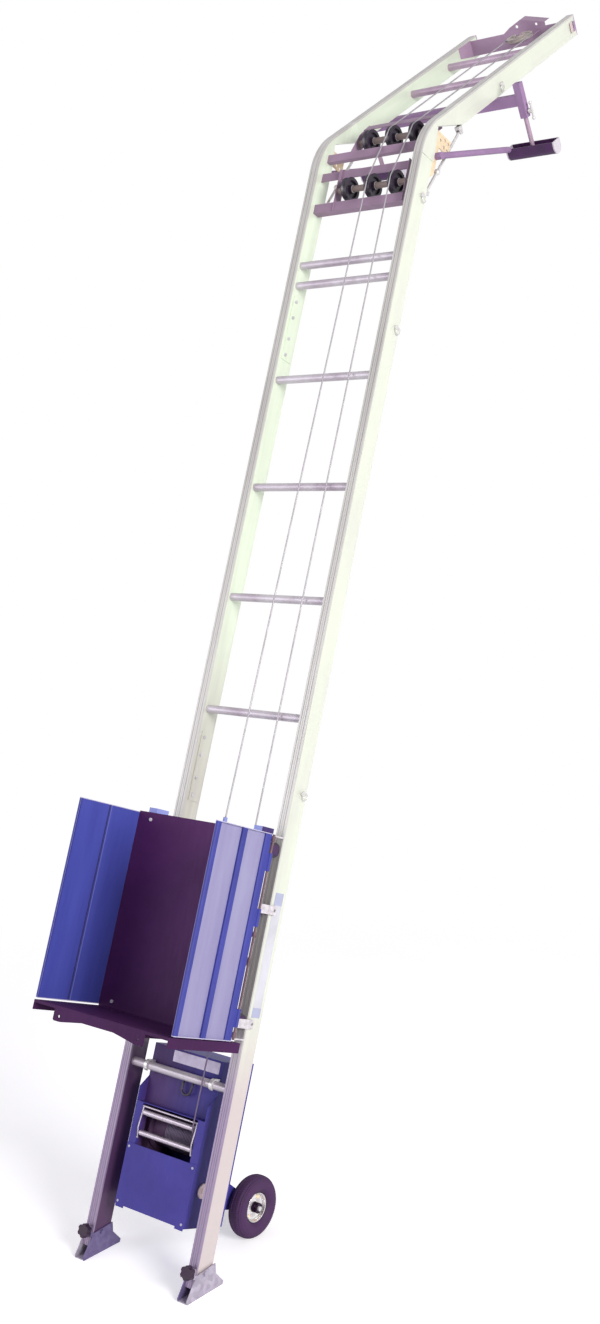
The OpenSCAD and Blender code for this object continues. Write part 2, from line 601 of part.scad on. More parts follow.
// Feet
foot_t = 4;
foot_gap = 0.4;
module foot() on_ground() {
    y0 = foot_p[0] - sole_l/2;
    y1 = foot_p[0] + sole_l/2;
    z = foot_p[1];
    for (x = [xi - foot_gap - foot_t, xo + foot_gap])
        slab(x, foot_t, [[y0, 0], [y1, 0], [y1 + 5, 13], [y1 - 38, z - 24], [y1 - 40, z + 17],
            [y0 + 56, z + 9], [y0 - 2, 12]]);
    block([xi - foot_gap - foot_t, y0, 0], [xo + foot_gap + foot_t, y1, 5]);
    rod(xi - foot_gap - foot_t - 7, xo + foot_gap + foot_t + 7, foot_p, 6);
    for (x = [xi - foot_gap - foot_t - 7, xo + foot_gap + foot_t]) rod(x, x + 7, foot_p, 10, $fn = 6);
    translate([0, foot_p[0], z]) rotate([-lean, 0, 0]) difference() {
        block([xi - foot_gap - foot_t, -rail_d/2 - 13, -20], [xo + foot_gap + foot_t, -rail_d/2 - 8, 20]);
        translate([xm, 0, 0]) rotate([90, 0, 0]) cylinder(h = rail_d, r = 5 + fit);
    }
}
module left_foot() color("silver") mirror([1, 0, 0]) foot();
module right_foot() color("silver") foot();
module knob() on_ground() translate([xm, foot_p[0], foot_p[1]]) rotate([-lean, 0, 0]) rotate([90, 0, 0]) {
    translate([0, 0, rail_d/2 + 4]) cylinder(h = 20, r = 5);
    translate([0, 0, rail_d/2 + 14]) difference() {
        cylinder(h = 24, r = 28);
        for (k = [0:5]) rotate([0, 0, 60*k]) translate([34, 0, -1]) cylinder(h = 26, r = 11);
    }
}
module left_knob() color("dimgray") mirror([1, 0, 0]) knob();
module right_knob() color("dimgray") knob();

// Carriage
car_top_s = plat_s + plat_h;
roll_s = [plat_s + 75, car_top_s - 60];
claw_s = [plat_s + 68, car_top_s - 295];
post_in = xo + 1.5 - post_w;
cheek = 5;
module carriage_frame() color("dimgray") on_track() {
    both() {
        difference() {
            block([post_in, frame_y, plat_s], [post_in + post_w, frame_y + 70, car_top_s]);
            block([post_in + 3, frame_y + 3, plat_s - 1],
                [post_in + post_w - 3, frame_y + 67, car_top_s - 3]);
        }
        for (s = roll_s) {
            for (x = [xm - 20, xm + 15])
                block([x, frame_y + 70 - eps, s - 20], [x + cheek, roll_y + 18, s + 20]);
            rod(xm - 20, xm + 20, [roll_y, s], 6);
        }
        for (s = claw_s) difference() {
            union() {
                block([post_in + post_w, frame_y + 48, s - 18], [post_in + post_w + 5, yf + 40, s + 18]);
                block([body_x + 1, yf + lip_t + 1.5, s - 18],
                    [post_in + post_w + eps, yf + lip_t + 12, s + 18]);
                rod(post_in + post_w + 4, post_in + post_w + 10, [frame_y + 59, s], 8, $fn = 6);
            }
            rod(post_in + post_w - 1, post_in + post_w + 6, [yf + 29, s], 6.5);
        }
        for (s = [plat_s + 4, car_top_s - 10])
            block([post_in + post_w - eps, frame_y + 6, s], [post_in + post_w + 8, yf - 3, s + 6]);
        bar([hinge[0], hinge[1], plat_s + 12], [hinge[0], hinge[1], car_top_s - 6], 5);
        for (s = [plat_s + 20, plat_s + plat_h/2, car_top_s - 32])
            block([post_in + post_w - eps, hinge[1] + 3, s], [hinge[0], hinge[1] + 13, s + 20]);
        for (s = [plat_s + 20, plat_s + plat_h/2, car_top_s - 32])
            translate([hinge[0], hinge[1], s]) cylinder(h = 20, r = 8);
        block([post_in - 2, frame_y - 1, car_top_s], [post_in + post_w + 2, frame_y + 72, car_top_s + 20]);
    }
    for (s = [plat_s + 10, plat_s + 500, car_top_s - 40]) difference() {
        block([-post_in - eps, frame_y, s], [post_in + eps, frame_y + 40, s + 40]);
        block([-post_in + 3, frame_y + 3, s + 3], [post_in - 3, frame_y + 37, s + 37]);
    }
    block([side_x[1] - 15, frame_y, car_top_s - 40], [side_x[1] + 15, anchor[0] + 16, car_top_s]);
    translate([side_x[1], anchor[0], car_top_s - eps]) cylinder(h = anchor[1] - car_top_s - 0.5, r = 9);
}
module roller(x, s) translate([x, roll_y, s]) rotate([0, 90, 0]) difference() {
    cylinder(h = 29, r = roll_d/2, center = true);
    cylinder(h = 40, r = 6 + fit, center = true);
    rotate_extrude() translate([roll_d/2 - 3, -3]) square([6, 6]);
}
module upper_rollers() color("dimgray") on_track() both() roller(xm, roll_s[1]);
module lower_rollers() color("dimgray") on_track() both() roller(xm, roll_s[0]);
module back_plate() color("dimgray") on_track() {
    block([-plat_w/2, front_y, plat_s], [plat_w/2, frame_y, car_top_s]);
    for (x = [-1, 1], s = [plat_s + 30, car_top_s - 30])
        translate([x*(post_in + post_w/2), front_y, s]) rotate([90, 0, 0]) cylinder(h = 5, r = 8, $fn = 6);
}
wing_x = plat_w/2 + 2;
wing_s = plat_s + 6;
wing_e = car_top_s - 4;
module wing() on_track() {
    y0 = front_y - plat_d;
    y1 = front_y - 3;
    mid = (y0 + y1)/2;
    translate([wing_x, 0, wing_s]) linear_extrude(wing_e - wing_s) difference() {
        union() {
            translate([0, y0]) square([2.5, front_y + 3 - y0]);
            polygon([[0, y0], [12, y0], [15, y0 + 4], [15, y0 + 20], [9, y0 + 26], [0, y0 + 26]]);
            polygon([[0, mid - 15], [11, mid - 15], [15, mid - 11], [15, mid + 9], [11, mid + 13],
                [0, mid + 13]]);
            polygon([[0, y1 - 42], [9, y1 - 42], [13, y1 - 34], [15, y1 - 16], [12, y1 - 6], [0, y1 - 6]]);
        }
        translate([-1, mid - 2]) square([5, 4]);
        translate([-1, y0 - 1]) square([2.5, 5]);
    }
    for (s = [wing_s, wing_e - 3]) block([wing_x + 1, y0 + 4, s], [wing_x + 15, y1 - 8, s + 3]);
    for (s = [plat_s + 60, plat_s + plat_h/2 + 40, car_top_s - 150]) difference() {
        union() {
            translate([hinge[0], hinge[1], s]) cylinder(h = 70, r = 8.5);
            block([wing_x + 2, y1 - 10, s], [hinge[0] + 2, hinge[1] - 2, s + 70]);
        }
        translate([hinge[0], hinge[1], s - 1]) cylinder(h = 72, r = 5 + fit);
    }
}
module left_wing() color("royalblue") mirror([1, 0, 0]) wing();
module right_wing() color("royalblue") wing();
// front edge of the floor: a shallow lip that deepens into two holed tabs
panel_t = 1.5;
tab_x = plat_w/2 - 114;
tab_s = plat_s - 58;
tab_pts = [[tab_x, plat_s - 6], [tab_x, tab_s + 4], [tab_x - 6, tab_s], [tab_x - 40, tab_s],
    [tab_x - 155, lip_s]];
module floor_plate() color("dimgray") on_track() {
    y0 = floor_y;
    y1 = frame_y + 60;
    block([-plat_w/2 - 6, y0, plat_s - 4], [plat_w/2 + 6, y1, plat_s]);
    block([-plat_w/2 - 6, y0, plat_s - 12], [plat_w/2 + 6, y0 + 4, plat_s]);
    block([-plat_w/2 + 14, y0 + 10, plat_s - 1], [plat_w/2 - 14, front_y - 8, plat_s + panel_t]);
    block([155 - tab_x, y0, lip_s], [tab_x - 155, y0 + 40, lip_s + 4]);
    translate([0, y0 + 5, 0]) rotate([90, 0, 0]) linear_extrude(5) both() difference() {
        polygon(concat([[-1, plat_s - 6]], tab_pts, [[-1, lip_s]]));
        translate([tab_x - 29, plat_s - 38]) circle(6);
    }
    both() block([plat_w/2 + 2, y0, lip_s], [plat_w/2 + 6, y1, plat_s]);
    for (x = [-150, 0, 150]) block([x - 3, y0, lip_s], [x + 3, y1, plat_s]);
}

left_base_rail();
right_base_rail();
left_middle_rail();
right_middle_rail();
left_knee_rail();
right_knee_rail();
left_head_rail();
right_head_rail();
track_rungs();
head_rungs();
splice_plates();
splice_bolts();
ring_clips();
rail_caps();
head_plate();
sheave_hood();
head_sheave();
lower_sheave_cage();
lower_left_sheave();
lower_middle_sheave();
lower_right_sheave();
upper_sheave_cage();
upper_left_sheave();
upper_middle_sheave();
upper_right_sheave();
knee_gussets();
knee_struts();
support_tube();
support_posts();
support_stays();
roof_pads();
left_clamp();
right_clamp();
drive_housing();
front_cover();
gear_motor();
rope_drum();
rope_winding();
upper_guide_roller();
lower_guide_roller();
guide_frame();
rung_hooks();
hoist_rope();
carriage_rope();
wheel_frame();
left_tyre();
left_rim();
right_tyre();
right_rim();
left_foot();
right_foot();
left_knob();
right_knob();
carriage_frame();
upper_rollers();
lower_rollers();
back_plate();
left_wing();
right_wing();
floor_plate();
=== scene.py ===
"""Looks of the material hoist: procedural materials on the CAD nodes, ropes with laid strands, tyres with
tread, turned rims and small trim. Metres, in the CAD frame."""

import json
import math

import bmesh
import bpy
import numpy as np
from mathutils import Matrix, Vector


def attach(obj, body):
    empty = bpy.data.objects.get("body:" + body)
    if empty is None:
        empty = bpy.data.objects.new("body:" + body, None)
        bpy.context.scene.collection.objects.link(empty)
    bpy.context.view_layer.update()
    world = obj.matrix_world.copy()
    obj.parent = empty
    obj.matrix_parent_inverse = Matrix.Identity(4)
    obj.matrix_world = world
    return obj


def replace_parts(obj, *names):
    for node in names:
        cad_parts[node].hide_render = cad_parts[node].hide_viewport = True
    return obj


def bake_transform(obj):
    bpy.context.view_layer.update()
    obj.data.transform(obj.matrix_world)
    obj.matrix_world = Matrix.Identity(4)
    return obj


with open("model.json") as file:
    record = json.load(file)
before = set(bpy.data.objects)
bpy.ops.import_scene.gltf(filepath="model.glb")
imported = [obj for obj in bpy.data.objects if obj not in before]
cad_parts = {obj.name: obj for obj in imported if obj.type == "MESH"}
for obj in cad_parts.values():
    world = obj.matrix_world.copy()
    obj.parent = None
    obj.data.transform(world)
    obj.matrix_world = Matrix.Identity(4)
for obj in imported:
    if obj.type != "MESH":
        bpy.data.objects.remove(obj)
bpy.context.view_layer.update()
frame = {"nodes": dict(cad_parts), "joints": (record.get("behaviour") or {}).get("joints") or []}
nodes = frame["nodes"]
joints = {j["name"]: j for j in frame["joints"]}
scene = bpy.context.scene

# Track geometry, the same values as the solids
LEAN = math.radians(18.6)
BEND = math.radians(40.5)
U = Vector((0, math.sin(LEAN), math.cos(LEAN)))
BACK = Vector((0, math.cos(LEAN), -math.sin(LEAN)))
HEAD = LEAN + BEND
DRUM_C = (0.110, 0.545)
MID_Y = (BACK * DRUM_C[0] + U * DRUM_C[1]).y - joints["drum_spin"]["pos_m"][1]
YF = -0.0335
KNEE_S = 4.907


def track(x, y, s):
    """A point in track coordinates: side, depth behind the rung axis, distance up the track."""
    p = BACK * y + U * s
    return Vector((x, p.y - MID_Y, p.z))


def head(x, y, h):
    """A point in head coordinates: side, depth under the rail fronts, distance past the bend."""
    return track(
        x,
        YF + h * math.sin(BEND) + y * math.cos(BEND),
        KNEE_S + h * math.cos(BEND) - y * math.sin(BEND),
    )


# Materials
class Tree:
    """A small helper around one material's nodes."""

    def __init__(self, name, base, rough, metal=0.0, spec=0.5):
        self.m = bpy.data.materials.new(name)
        self.m.use_nodes = True
        self.t = self.m.node_tree
        self.b = self.t.nodes["Principled BSDF"]
        self.b.inputs["Base Color"].default_value = (*base, 1)
        self.b.inputs["Roughness"].default_value = rough
        self.b.inputs["Metallic"].default_value = metal
        self.b.inputs["Specular IOR Level"].default_value = spec
        self.coord = self.t.nodes.new("ShaderNodeTexCoord")

    def n(self, kind, **sets):
        node = self.t.nodes.new("ShaderNode" + kind)
        for k, v in sets.items():
            if k in node.inputs:
                node.inputs[k].default_value = v
            else:
                setattr(node, k, v)
        return node

    def link(self, a, b):
        self.t.links.new(a, b)

    def mapped(self, scale, lean=False):
        """Object coordinates, turned along the track where lean is set, then scaled."""
        src = self.coord.outputs["Object"]
        if lean:
            turn = self.n("Mapping")
            turn.inputs["Rotation"].default_value = (lean, 0, 0)
            self.link(src, turn.inputs["Vector"])
            src = turn.outputs["Vector"]
        mp = self.n("Mapping")
        mp.inputs["Scale"].default_value = scale
        self.link(src, mp.inputs["Vector"])
        return mp.outputs["Vector"]

    def noise(self, vec, scale=1.0, detail=4.0, rough=0.55):
        node = self.n("TexNoise", Scale=scale, Detail=detail, Roughness=rough)
        self.link(vec, node.inputs["Vector"])
        return node.outputs["Fac"]

    def ramp(self, fac, stops):
        node = self.n("ValToRGB")
        el = node.color_ramp.elements
        while len(el) < len(stops):
            el.new(0.5)
        for e, (pos, col) in zip(el, stops):
            e.position = pos
            e.color = (*col, 1) if len(col) == 3 else col
        self.link(fac, node.inputs["Fac"])
        return node.outputs["Color"]

    def math(self, op, a, b=None, clamp=False):
        node = self.n("Math", operation=op, use_clamp=clamp)
        for i, v in enumerate((a, b)):
            if v is None:
                continue
            if isinstance(v, (int, float)):
                node.inputs[i].default_value = v
            else:
                self.link(v, node.inputs[i])
        return node.outputs[0]

    def mix(self, fac, a, b, blend="MIX"):
        node = self.n("MixRGB", blend_type=blend)
        for sock, v in zip(node.inputs, (fac, a, b)):
            if isinstance(v, (int, float)):
                sock.default_value = v
            elif isinstance(v, tuple):
                sock.default_value = (*v, 1)
            else:
                self.link(v, sock)
        return node.outputs[0]

    def along(self, way, off=0.0):
        """Distance of the surface point along a direction, from the frame's origin, less off."""
        node = self.n("VectorMath", operation="DOT_PRODUCT")
        self.link(self.coord.outputs["Object"], node.inputs[0])
        node.inputs[1].default_value = tuple(way)
        return self.math("SUBTRACT", node.outputs["Value"], off)

    def from_axis(self, place):
        """Distance of the surface point from the sideways line through place."""
        away = self.n("VectorMath", operation="SUBTRACT")
        self.link(self.coord.outputs["Object"], away.inputs[0])
        away.inputs[1].default_value = tuple(place)
        flat = self.n("VectorMath", operation="MULTIPLY")
        self.link(away.outputs["Vector"], flat.inputs[0])
        flat.inputs[1].default_value = (0, 1, 1)
        size = self.n("VectorMath", operation="LENGTH")
        self.link(flat.outputs["Vector"], size.inputs[0])
        return size.outputs["Value"]

    def side(self):
        """Distance from the middle plane."""
        return self.math("ABSOLUTE", self.along((1, 0, 0)))

    def step(self, value, low, high):
        """0 below low, 1 above high, eased between; the other way round where low is above high."""
        node = self.n("MapRange", interpolation_type="SMOOTHSTEP")
        for key, v in (("From Min", low), ("From Max", high), ("To Min", 0.0), ("To Max", 1.0)):
            node.inputs[key].default_value = v
        self.link(value, node.inputs["Value"])
        return node.outputs["Result"]

    def band(self, value, low, high, soft=0.0004):
        """1 between low and high, 0 outside."""
        rise = self.step(value, low - soft, low + soft)
        return self.math("MULTIPLY", rise, self.step(value, high + soft, high - soft))

    def both(self, a, b):
        """The place that two masks share."""
        return self.math("MULTIPLY", a, b)

    def either(self, a, b):
        """The places that two masks cover together."""
        return self.math("MAXIMUM", a, b)

    def up(self):
        """Distance up the track."""
        return self.along(U, U.y * -MID_Y)

    def deep(self):
        """Depth behind the rung axis."""
        return self.along(BACK, BACK.y * -MID_Y)

    def over(self, fac, colour):
        """Lays a colour over the present base colour by fac."""
        sock = self.b.inputs["Base Color"]
        now = sock.links[0].from_socket if sock.links else tuple(sock.default_value)[:3]
        self.color(self.mix(fac, now, colour))

    def bump(self, height, strength=0.2, dist=0.001):
        node = self.n("Bump", Strength=strength, Distance=dist)
        self.link(height, node.inputs["Height"])
        self.link(node.outputs["Normal"], self.b.inputs["Normal"])

    def color(self, sock):
        self.link(sock, self.b.inputs["Base Color"])

    def rough(self, sock):
        self.link(sock, self.b.inputs["Roughness"])


def grey(v):
    return (v, v, v)


def shade(c, k):
    return tuple(min(1.0, x * k) for x in c)


def drawn_aluminium(name, lean, base=(0.745, 0.785, 0.675), dark=(0.66, 0.67, 0.62), metal=0.25):
    """Drawn aluminium: fine lines along the section, faint stains and a little dulling."""
    t = Tree(name, base, 0.40, metal)
    lines = t.noise(t.mapped((420, 420, 2.2), lean), 1.0, 5, 0.6)
    stain = t.noise(t.mapped((5, 5, 1.6), lean), 1.0, 5, 0.6)
    spots = t.noise(t.mapped((60, 60, 60), lean), 1.0, 3, 0.5)
    c = t.ramp(stain, [(0.32, dark), (0.58, base)])
    c = t.mix(0.18, c, t.ramp(lines, [(0.3, shade(base, 0.8)), (0.7, shade(base, 1.12))]))
    c = t.mix(t.ramp(spots, [(0.68, grey(0)), (0.75, grey(0.25))]), c, dark)
    t.color(c)
    t.rough(t.ramp(lines, [(0.3, grey(0.30)), (0.7, grey(0.46))]))
    t.bump(lines, 0.12, 0.0006)
    return t


def paint(name, base, rough=0.46, lean=LEAN, dust=(0.35, 0.33, 0.38), dust_amount=0.18, spec=0.28):
    """Sprayed paint: orange peel, a cloudy tone, and faint scuffs down the panel that carry dust."""
    t = Tree(name, base, rough, 0.0, spec)
    peel = t.noise(t.mapped((900, 900, 900)), 1.0, 2, 0.5)
    cloud = t.noise(t.mapped((4, 4, 4)), 1.0, 5, 0.6)
    scuff = t.noise(t.mapped((160, 160, 9), lean), 1.0, 6, 0.65)
    c = t.ramp(cloud, [(0.3, shade(base, 0.82)), (0.7, shade(base, 1.16))])
    c = t.mix(t.ramp(scuff, [(0.62, grey(0)), (0.80, grey(dust_amount))]), c, dust)
    t.color(c)
    t.rough(t.ramp(scuff, [(0.35, grey(rough)), (0.75, grey(min(0.9, rough + 0.22)))]))
    t.bump(peel, 0.06, 0.0004)
    return t


def plastic(name, base, rough=0.5, grain=1400):
    t = Tree(name, base, rough, 0.0, 0.45)
    g = t.noise(t.mapped((grain, grain, grain)), 1.0, 2, 0.5)
    w = t.noise(t.mapped((18, 18, 18)), 1.0, 5, 0.6)
    t.color(t.ramp(w, [(0.3, shade(base, 0.75)), (0.72, shade(base, 1.35))]))
    t.rough(t.ramp(w, [(0.3, grey(rough - 0.1)), (0.7, grey(rough + 0.12))]))
    t.bump(g, 0.10, 0.0004)
    return t


def zinc(name, base, spangle=True, rough=0.42, tint=(0.62, 0.6, 0.66), metal=0.75):
    """Zinc plate: crystal patches for hot-dip, a cloudy tint for plated pieces."""
    t = Tree(name, base, rough, metal)
    if spangle:
        v = t.n("TexVoronoi", Scale=1.0, Randomness=1.0)
        t.link(t.mapped((55, 55, 55)), v.inputs["Vector"])
        patch = v.outputs["Color"]
        bw = t.n("RGBToBW")
        t.link(patch, bw.inputs["Color"])
        fac = bw.outputs["Val"]
    else:
        fac = t.noise(t.mapped((38, 38, 38)), 1.0, 5, 0.65)
    cloud = t.noise(t.mapped((14, 14, 14)), 1.0, 5, 0.6)
    c = t.ramp(fac, [(0.25, shade(base, 0.84)), (0.75, shade(base, 1.12))])
    c = t.mix(t.ramp(cloud, [(0.42, grey(0)), (0.72, grey(0.55))]), c, tint)
    t.color(c)
    t.rough(t.ramp(cloud, [(0.3, grey(rough - 0.1)), (0.75, grey(rough + 0.16))]))
    t.bump(cloud, 0.08, 0.0005)
    return t


def bright(name, base=(0.58, 0.54, 0.58), rough=0.26):
    t = Tree(name, base, rough, 0.7)
    w = t.noise(t.mapped((30, 30, 30)), 1.0, 5, 0.6)
    fine = t.noise(t.mapped((8, 700, 700)), 1.0, 3, 0.5)
    t.color(t.ramp(w, [(0.3, shade(base, 0.86)), (0.7, shade(base, 1.08))]))
    t.rough(t.ramp(w, [(0.3, grey(rough)), (0.75, grey(rough + 0.16))]))
    t.bump(fine, 0.05, 0.0003)
    return t


def track_rail(name, lean):
    """Rail finish: pale outer faces; painted shade makes the lips and inner faces greyer, the inner faces
    paler again higher up, and the rail warmer and darker towards the ground, darkest on the inner faces, with
    dark lines in the lip grooves.
    """
    t = drawn_aluminium(name, lean)
    up = t.up()
    past = t.along(HEAD_UP, HEAD_UP.dot(BEND_O))
    lip = t.step(t.deep(), YF + LIP + 0.0004, YF + LIP)
    lip = t.either(lip, t.step(t.along(HEAD_BACK, HEAD_BACK.dot(BEND_O)), LIP + 0.0004, LIP))
    bow = t.step(t.from_axis(KNEE_AXIS), KNEE_R - LIP - 0.0004, KNEE_R - LIP)
    bow = t.both(bow, t.step(up, KNEE_S - KNEE_TAN - 0.001, KNEE_S - KNEE_TAN))
    lip = t.either(lip, t.both(bow, t.step(past, KNEE_TAN + 0.001, KNEE_TAN)))
    inner = t.step(t.side(), RAIL_IN + 0.0006, RAIL_IN + 0.0002)
    streak = t.noise(t.mapped((14, 14, 1.1), lean), 1.0, 4, 0.6)
    # painted shade: the inner faces greyer than the outer faces
    t.over(inner, t.ramp(streak, [(0.3, (0.50, 0.475, 0.44)), (0.7, (0.66, 0.65, 0.58))]))
    # painted light: from 1.9 to 2.9 m up the track the inner faces turn paler and greener again, where the
    # painted shade ends
    inner_painted_light = t.ramp(streak, [(0.3, (0.66, 0.73, 0.60)), (0.7, (0.78, 0.87, 0.71))])
    t.over(t.both(inner, t.step(up, 1.9, 2.9)), inner_painted_light)
    # painted shade: the rail darker and warmer towards the ground, below 0.85 to 1.42 m up with a ragged
    # noisy edge, and dark plum on the inner faces there
    shade_edge_noise = t.noise(t.mapped((9, 9, 2), lean), 1.0, 4, 0.6)
    low = t.step(t.math("ADD", up, t.math("MULTIPLY", shade_edge_noise, 0.35)), 1.42, 0.85)
    t.over(low, (0.62, 0.545, 0.54))
    t.over(t.both(inner, low), (0.085, 0.036, 0.10))
    # painted shade: the lips greyer than the outer faces, and dark purple low down
    t.over(lip, t.ramp(streak, [(0.3, (0.48, 0.465, 0.45)), (0.7, (0.63, 0.62, 0.59))]))
    t.over(t.both(lip, low), (0.295, 0.225, 0.345))
    # painted shade: dark lines in the two grooves along each lip
    lines = t.either(*(t.band(t.side(), *line) for line in LIP_LINES))
    t.over(t.math("MULTIPLY", t.both(lip, lines), 0.35), (0.14, 0.10, 0.16))
    return t.m


def wing_paint(name):
    """Wing finish: blue, with a painted lavender sheen on the flat outer fields between the ribs, painted
    shade and a painted highlight along the inner groove, and pale sheet ends.
    """
    t = paint(name, (0.045, 0.050, 0.29), dust=(0.30, 0.30, 0.52), dust_amount=0.12)
    streak = t.noise(t.mapped((12, 12, 1.4), LEAN), 1.0, 4, 0.6)
    # painted sheen: the flat outer fields between the ribs lavender instead of blue
    painted_sheen = t.ramp(streak, [(0.3, (0.25, 0.225, 0.41)), (0.7, (0.31, 0.295, 0.47))])
    t.over(t.band(t.side(), WING_X + 0.0019, WING_X + 0.0033), painted_sheen)
    inner = t.step(t.side(), WING_X + 0.0008, WING_X + 0.0004)
    t.over(inner, t.ramp(streak, [(0.3, (0.052, 0.061, 0.34)), (0.7, (0.070, 0.084, 0.41))]))
    deep = t.deep()
    # painted shade along the pressed groove down the middle of the inner face, with a painted highlight
    # beside it
    groove_painted_shade = t.band(deep, WING_MID - 0.008, WING_MID + 0.003, 0.002)
    t.over(t.both(inner, groove_painted_shade), (0.030, 0.030, 0.17))
    groove_painted_highlight = t.band(deep, WING_MID + 0.004, WING_MID + 0.010, 0.002)
    t.over(t.both(inner, groove_painted_highlight), (0.13, 0.145, 0.50))
    up = t.up()
    low_end = t.step(up, WING_S + 0.0032, WING_S + 0.0030)
    high_end = t.step(up, WING_E - 0.0032, WING_E - 0.0030)
    t.over(t.either(low_end, high_end), (0.50, 0.48, 0.66))
    return t.m


def carriage_paint():
    """Carriage finish: dark paint, blue post tops, rusty hinge sides and bare bright claws."""
    t = paint("carriage_paint", (0.060, 0.026, 0.090), 0.44, dust=(0.16, 0.10, 0.20), dust_amount=0.2)
    up = t.up()
    t.over(t.step(up, CAR_TOP - 0.0005, CAR_TOP + 0.0005), (0.30, 0.34, 0.72))
    cloud = t.noise(t.mapped((45, 45, 45)), 1.0, 4, 0.6)
    outer = t.step(t.side(), POST_OUT + 0.0001, POST_OUT + 0.0007)
    t.over(outer, t.ramp(cloud, [(0.3, (0.032, 0.018, 0.100)), (0.7, (0.058, 0.032, 0.165))]))
    rust = t.ramp(cloud, [(0.3, (0.10, 0.050, 0.070)), (0.7, (0.20, 0.125, 0.145))])
    t.over(t.step(t.side(), RUST_X, RUST_X + 0.0006), rust)
    claws = t.band(up, PLAT_S + 0.0035, PLAT_S + 0.0105)
    for at, half in ((PLAT_S + 0.068, 0.0185), (PLAT_S + 0.520, 0.0185), (CAR_TOP - 0.007, 0.0035)):
        claws = t.either(claws, t.band(up, at - half, at + half))
    claws = t.both(claws, t.both(outer, t.step(t.side(), CLAW_OUT, CLAW_OUT - 0.0004)))
    t.over(claws, t.ramp(cloud, [(0.3, (0.46, 0.42, 0.47)), (0.7, (0.74, 0.71, 0.74))]))
    return t.m


def back_paint():
    """Back plate finish: dark paint, with bare bright screw heads on its front."""
    t = paint("back_paint", (0.072, 0.0145, 0.092), 0.46, dust=(0.16, 0.07, 0.19), dust_amount=0.16, spec=0.2)
    t.over(t.step(t.deep(), FRONT_Y - 0.0008, FRONT_Y - 0.0014), (0.62, 0.60, 0.64))
    return t.m


def cage_paint(places):
    """Cage finish: grey-violet paint, with worn steel spacers on the axles at places."""
    t = paint("cage_paint", (0.32, 0.215, 0.31), 0.42, dust=(0.5, 0.4, 0.48))
    for place in places:
        t.over(t.step(t.from_axis(place), SPACER_R + 0.0010, SPACER_R + 0.0003), (0.30, 0.235, 0.215))
    return t.m


def sheave_plastic(places):
    """Sheave finish: black plastic, with bright hubs on the axles at places."""
    t = plastic("sheave_plastic", (0.026, 0.018, 0.034), 0.34)
    for place in places:
        t.over(t.step(t.from_axis(place), HUB_FACE_R, HUB_FACE_R - 0.0007), (0.52, 0.50, 0.53))
    return t.m


def pad_plastic():
    """Pad finish: dark plastic, with pale end caps."""
    t = plastic("pad_plastic", (0.054, 0.014, 0.076), 0.5)
    end = t.math("ABSOLUTE", t.math("SUBTRACT", t.side(), PAD_X))
    t.over(t.step(end, PAD_HALF - 0.0068, PAD_HALF - 0.0056), (0.60, 0.56, 0.62))
    return t.m


def housing_paint():
    """Housing finish: blue, with painted shade on the left of the recess behind the rope window, and bright
    screw heads.
    """
    t = paint("blue_paint", (0.050, 0.040, 0.27))
    # painted shade: dark plum on the left of the recess behind the rope window, inside the side walls
    recess = t.band(t.deep(), -0.004, 0.036, 0.008)
    left = t.step(t.along((1, 0, 0)), 0.15, -0.15)
    inside = t.step(t.side(), HOUSE_IN + 0.0005, HOUSE_IN - 0.0005)
    t.over(t.both(t.both(recess, left), inside), (0.066, 0.030, 0.135))
    heads = t.step(t.deep(), COVER_Y - 0.0006, COVER_Y - 0.0012)
    t.over(heads, (0.46, 0.44, 0.56))
    return t.m


def foot_zinc():
    """Foot finish: hot-dip zinc, with painted shade, dull and bluish, on the plates that face each other."""
    t = zinc("galvanised", (0.44, 0.40, 0.49), tint=(0.32, 0.27, 0.38), metal=0.3, rough=0.5)
    cloud = t.noise(t.mapped((40, 40, 40)), 1.0, 4, 0.6)
    # painted shade: the plates that face each other darker and bluish
    facing_painted_shade = t.ramp(cloud, [(0.3, (0.115, 0.085, 0.21)), (0.7, (0.18, 0.145, 0.29))])
    t.over(t.step(t.side(), RAIL_IN + 0.0006, RAIL_IN), facing_painted_shade)
    return t.m


def rim_steel(place):
    """Rim finish: bright pressed steel round a hub darkened by painted shade."""
    t = zinc("rim_zinc", (0.80, 0.78, 0.78), spangle=False, rough=0.26, metal=0.9)
    # painted shade: the hub dark
    t.over(t.step(t.from_axis(place), RIM_HUB_R + 0.0010, RIM_HUB_R + 0.0002), (0.035, 0.018, 0.045))
    return t.m


def rope_steel():
    """Rope finish: steel wire, darker towards the bottom of the track."""
    t = zinc("rope_steel", (0.44, 0.41, 0.45), spangle=False, tint=(0.35, 0.31, 0.36), rough=0.4, metal=0.3)
    # darker below 1.9 m up the track, fully by 1.0 m
    t.over(t.step(t.up(), 1.9, 1.0), (0.15, 0.115, 0.19))
    return t.m


def frame_paint():
    """Wheel frame finish: blue, with the bare axle ends outside the bracket."""
    t = paint("frame_paint", (0.050, 0.040, 0.27))
    t.over(t.step(t.side(), BRACKET_OUT + 0.0002, BRACKET_OUT + 0.0008), (0.60, 0.58, 0.60))
    return t.m


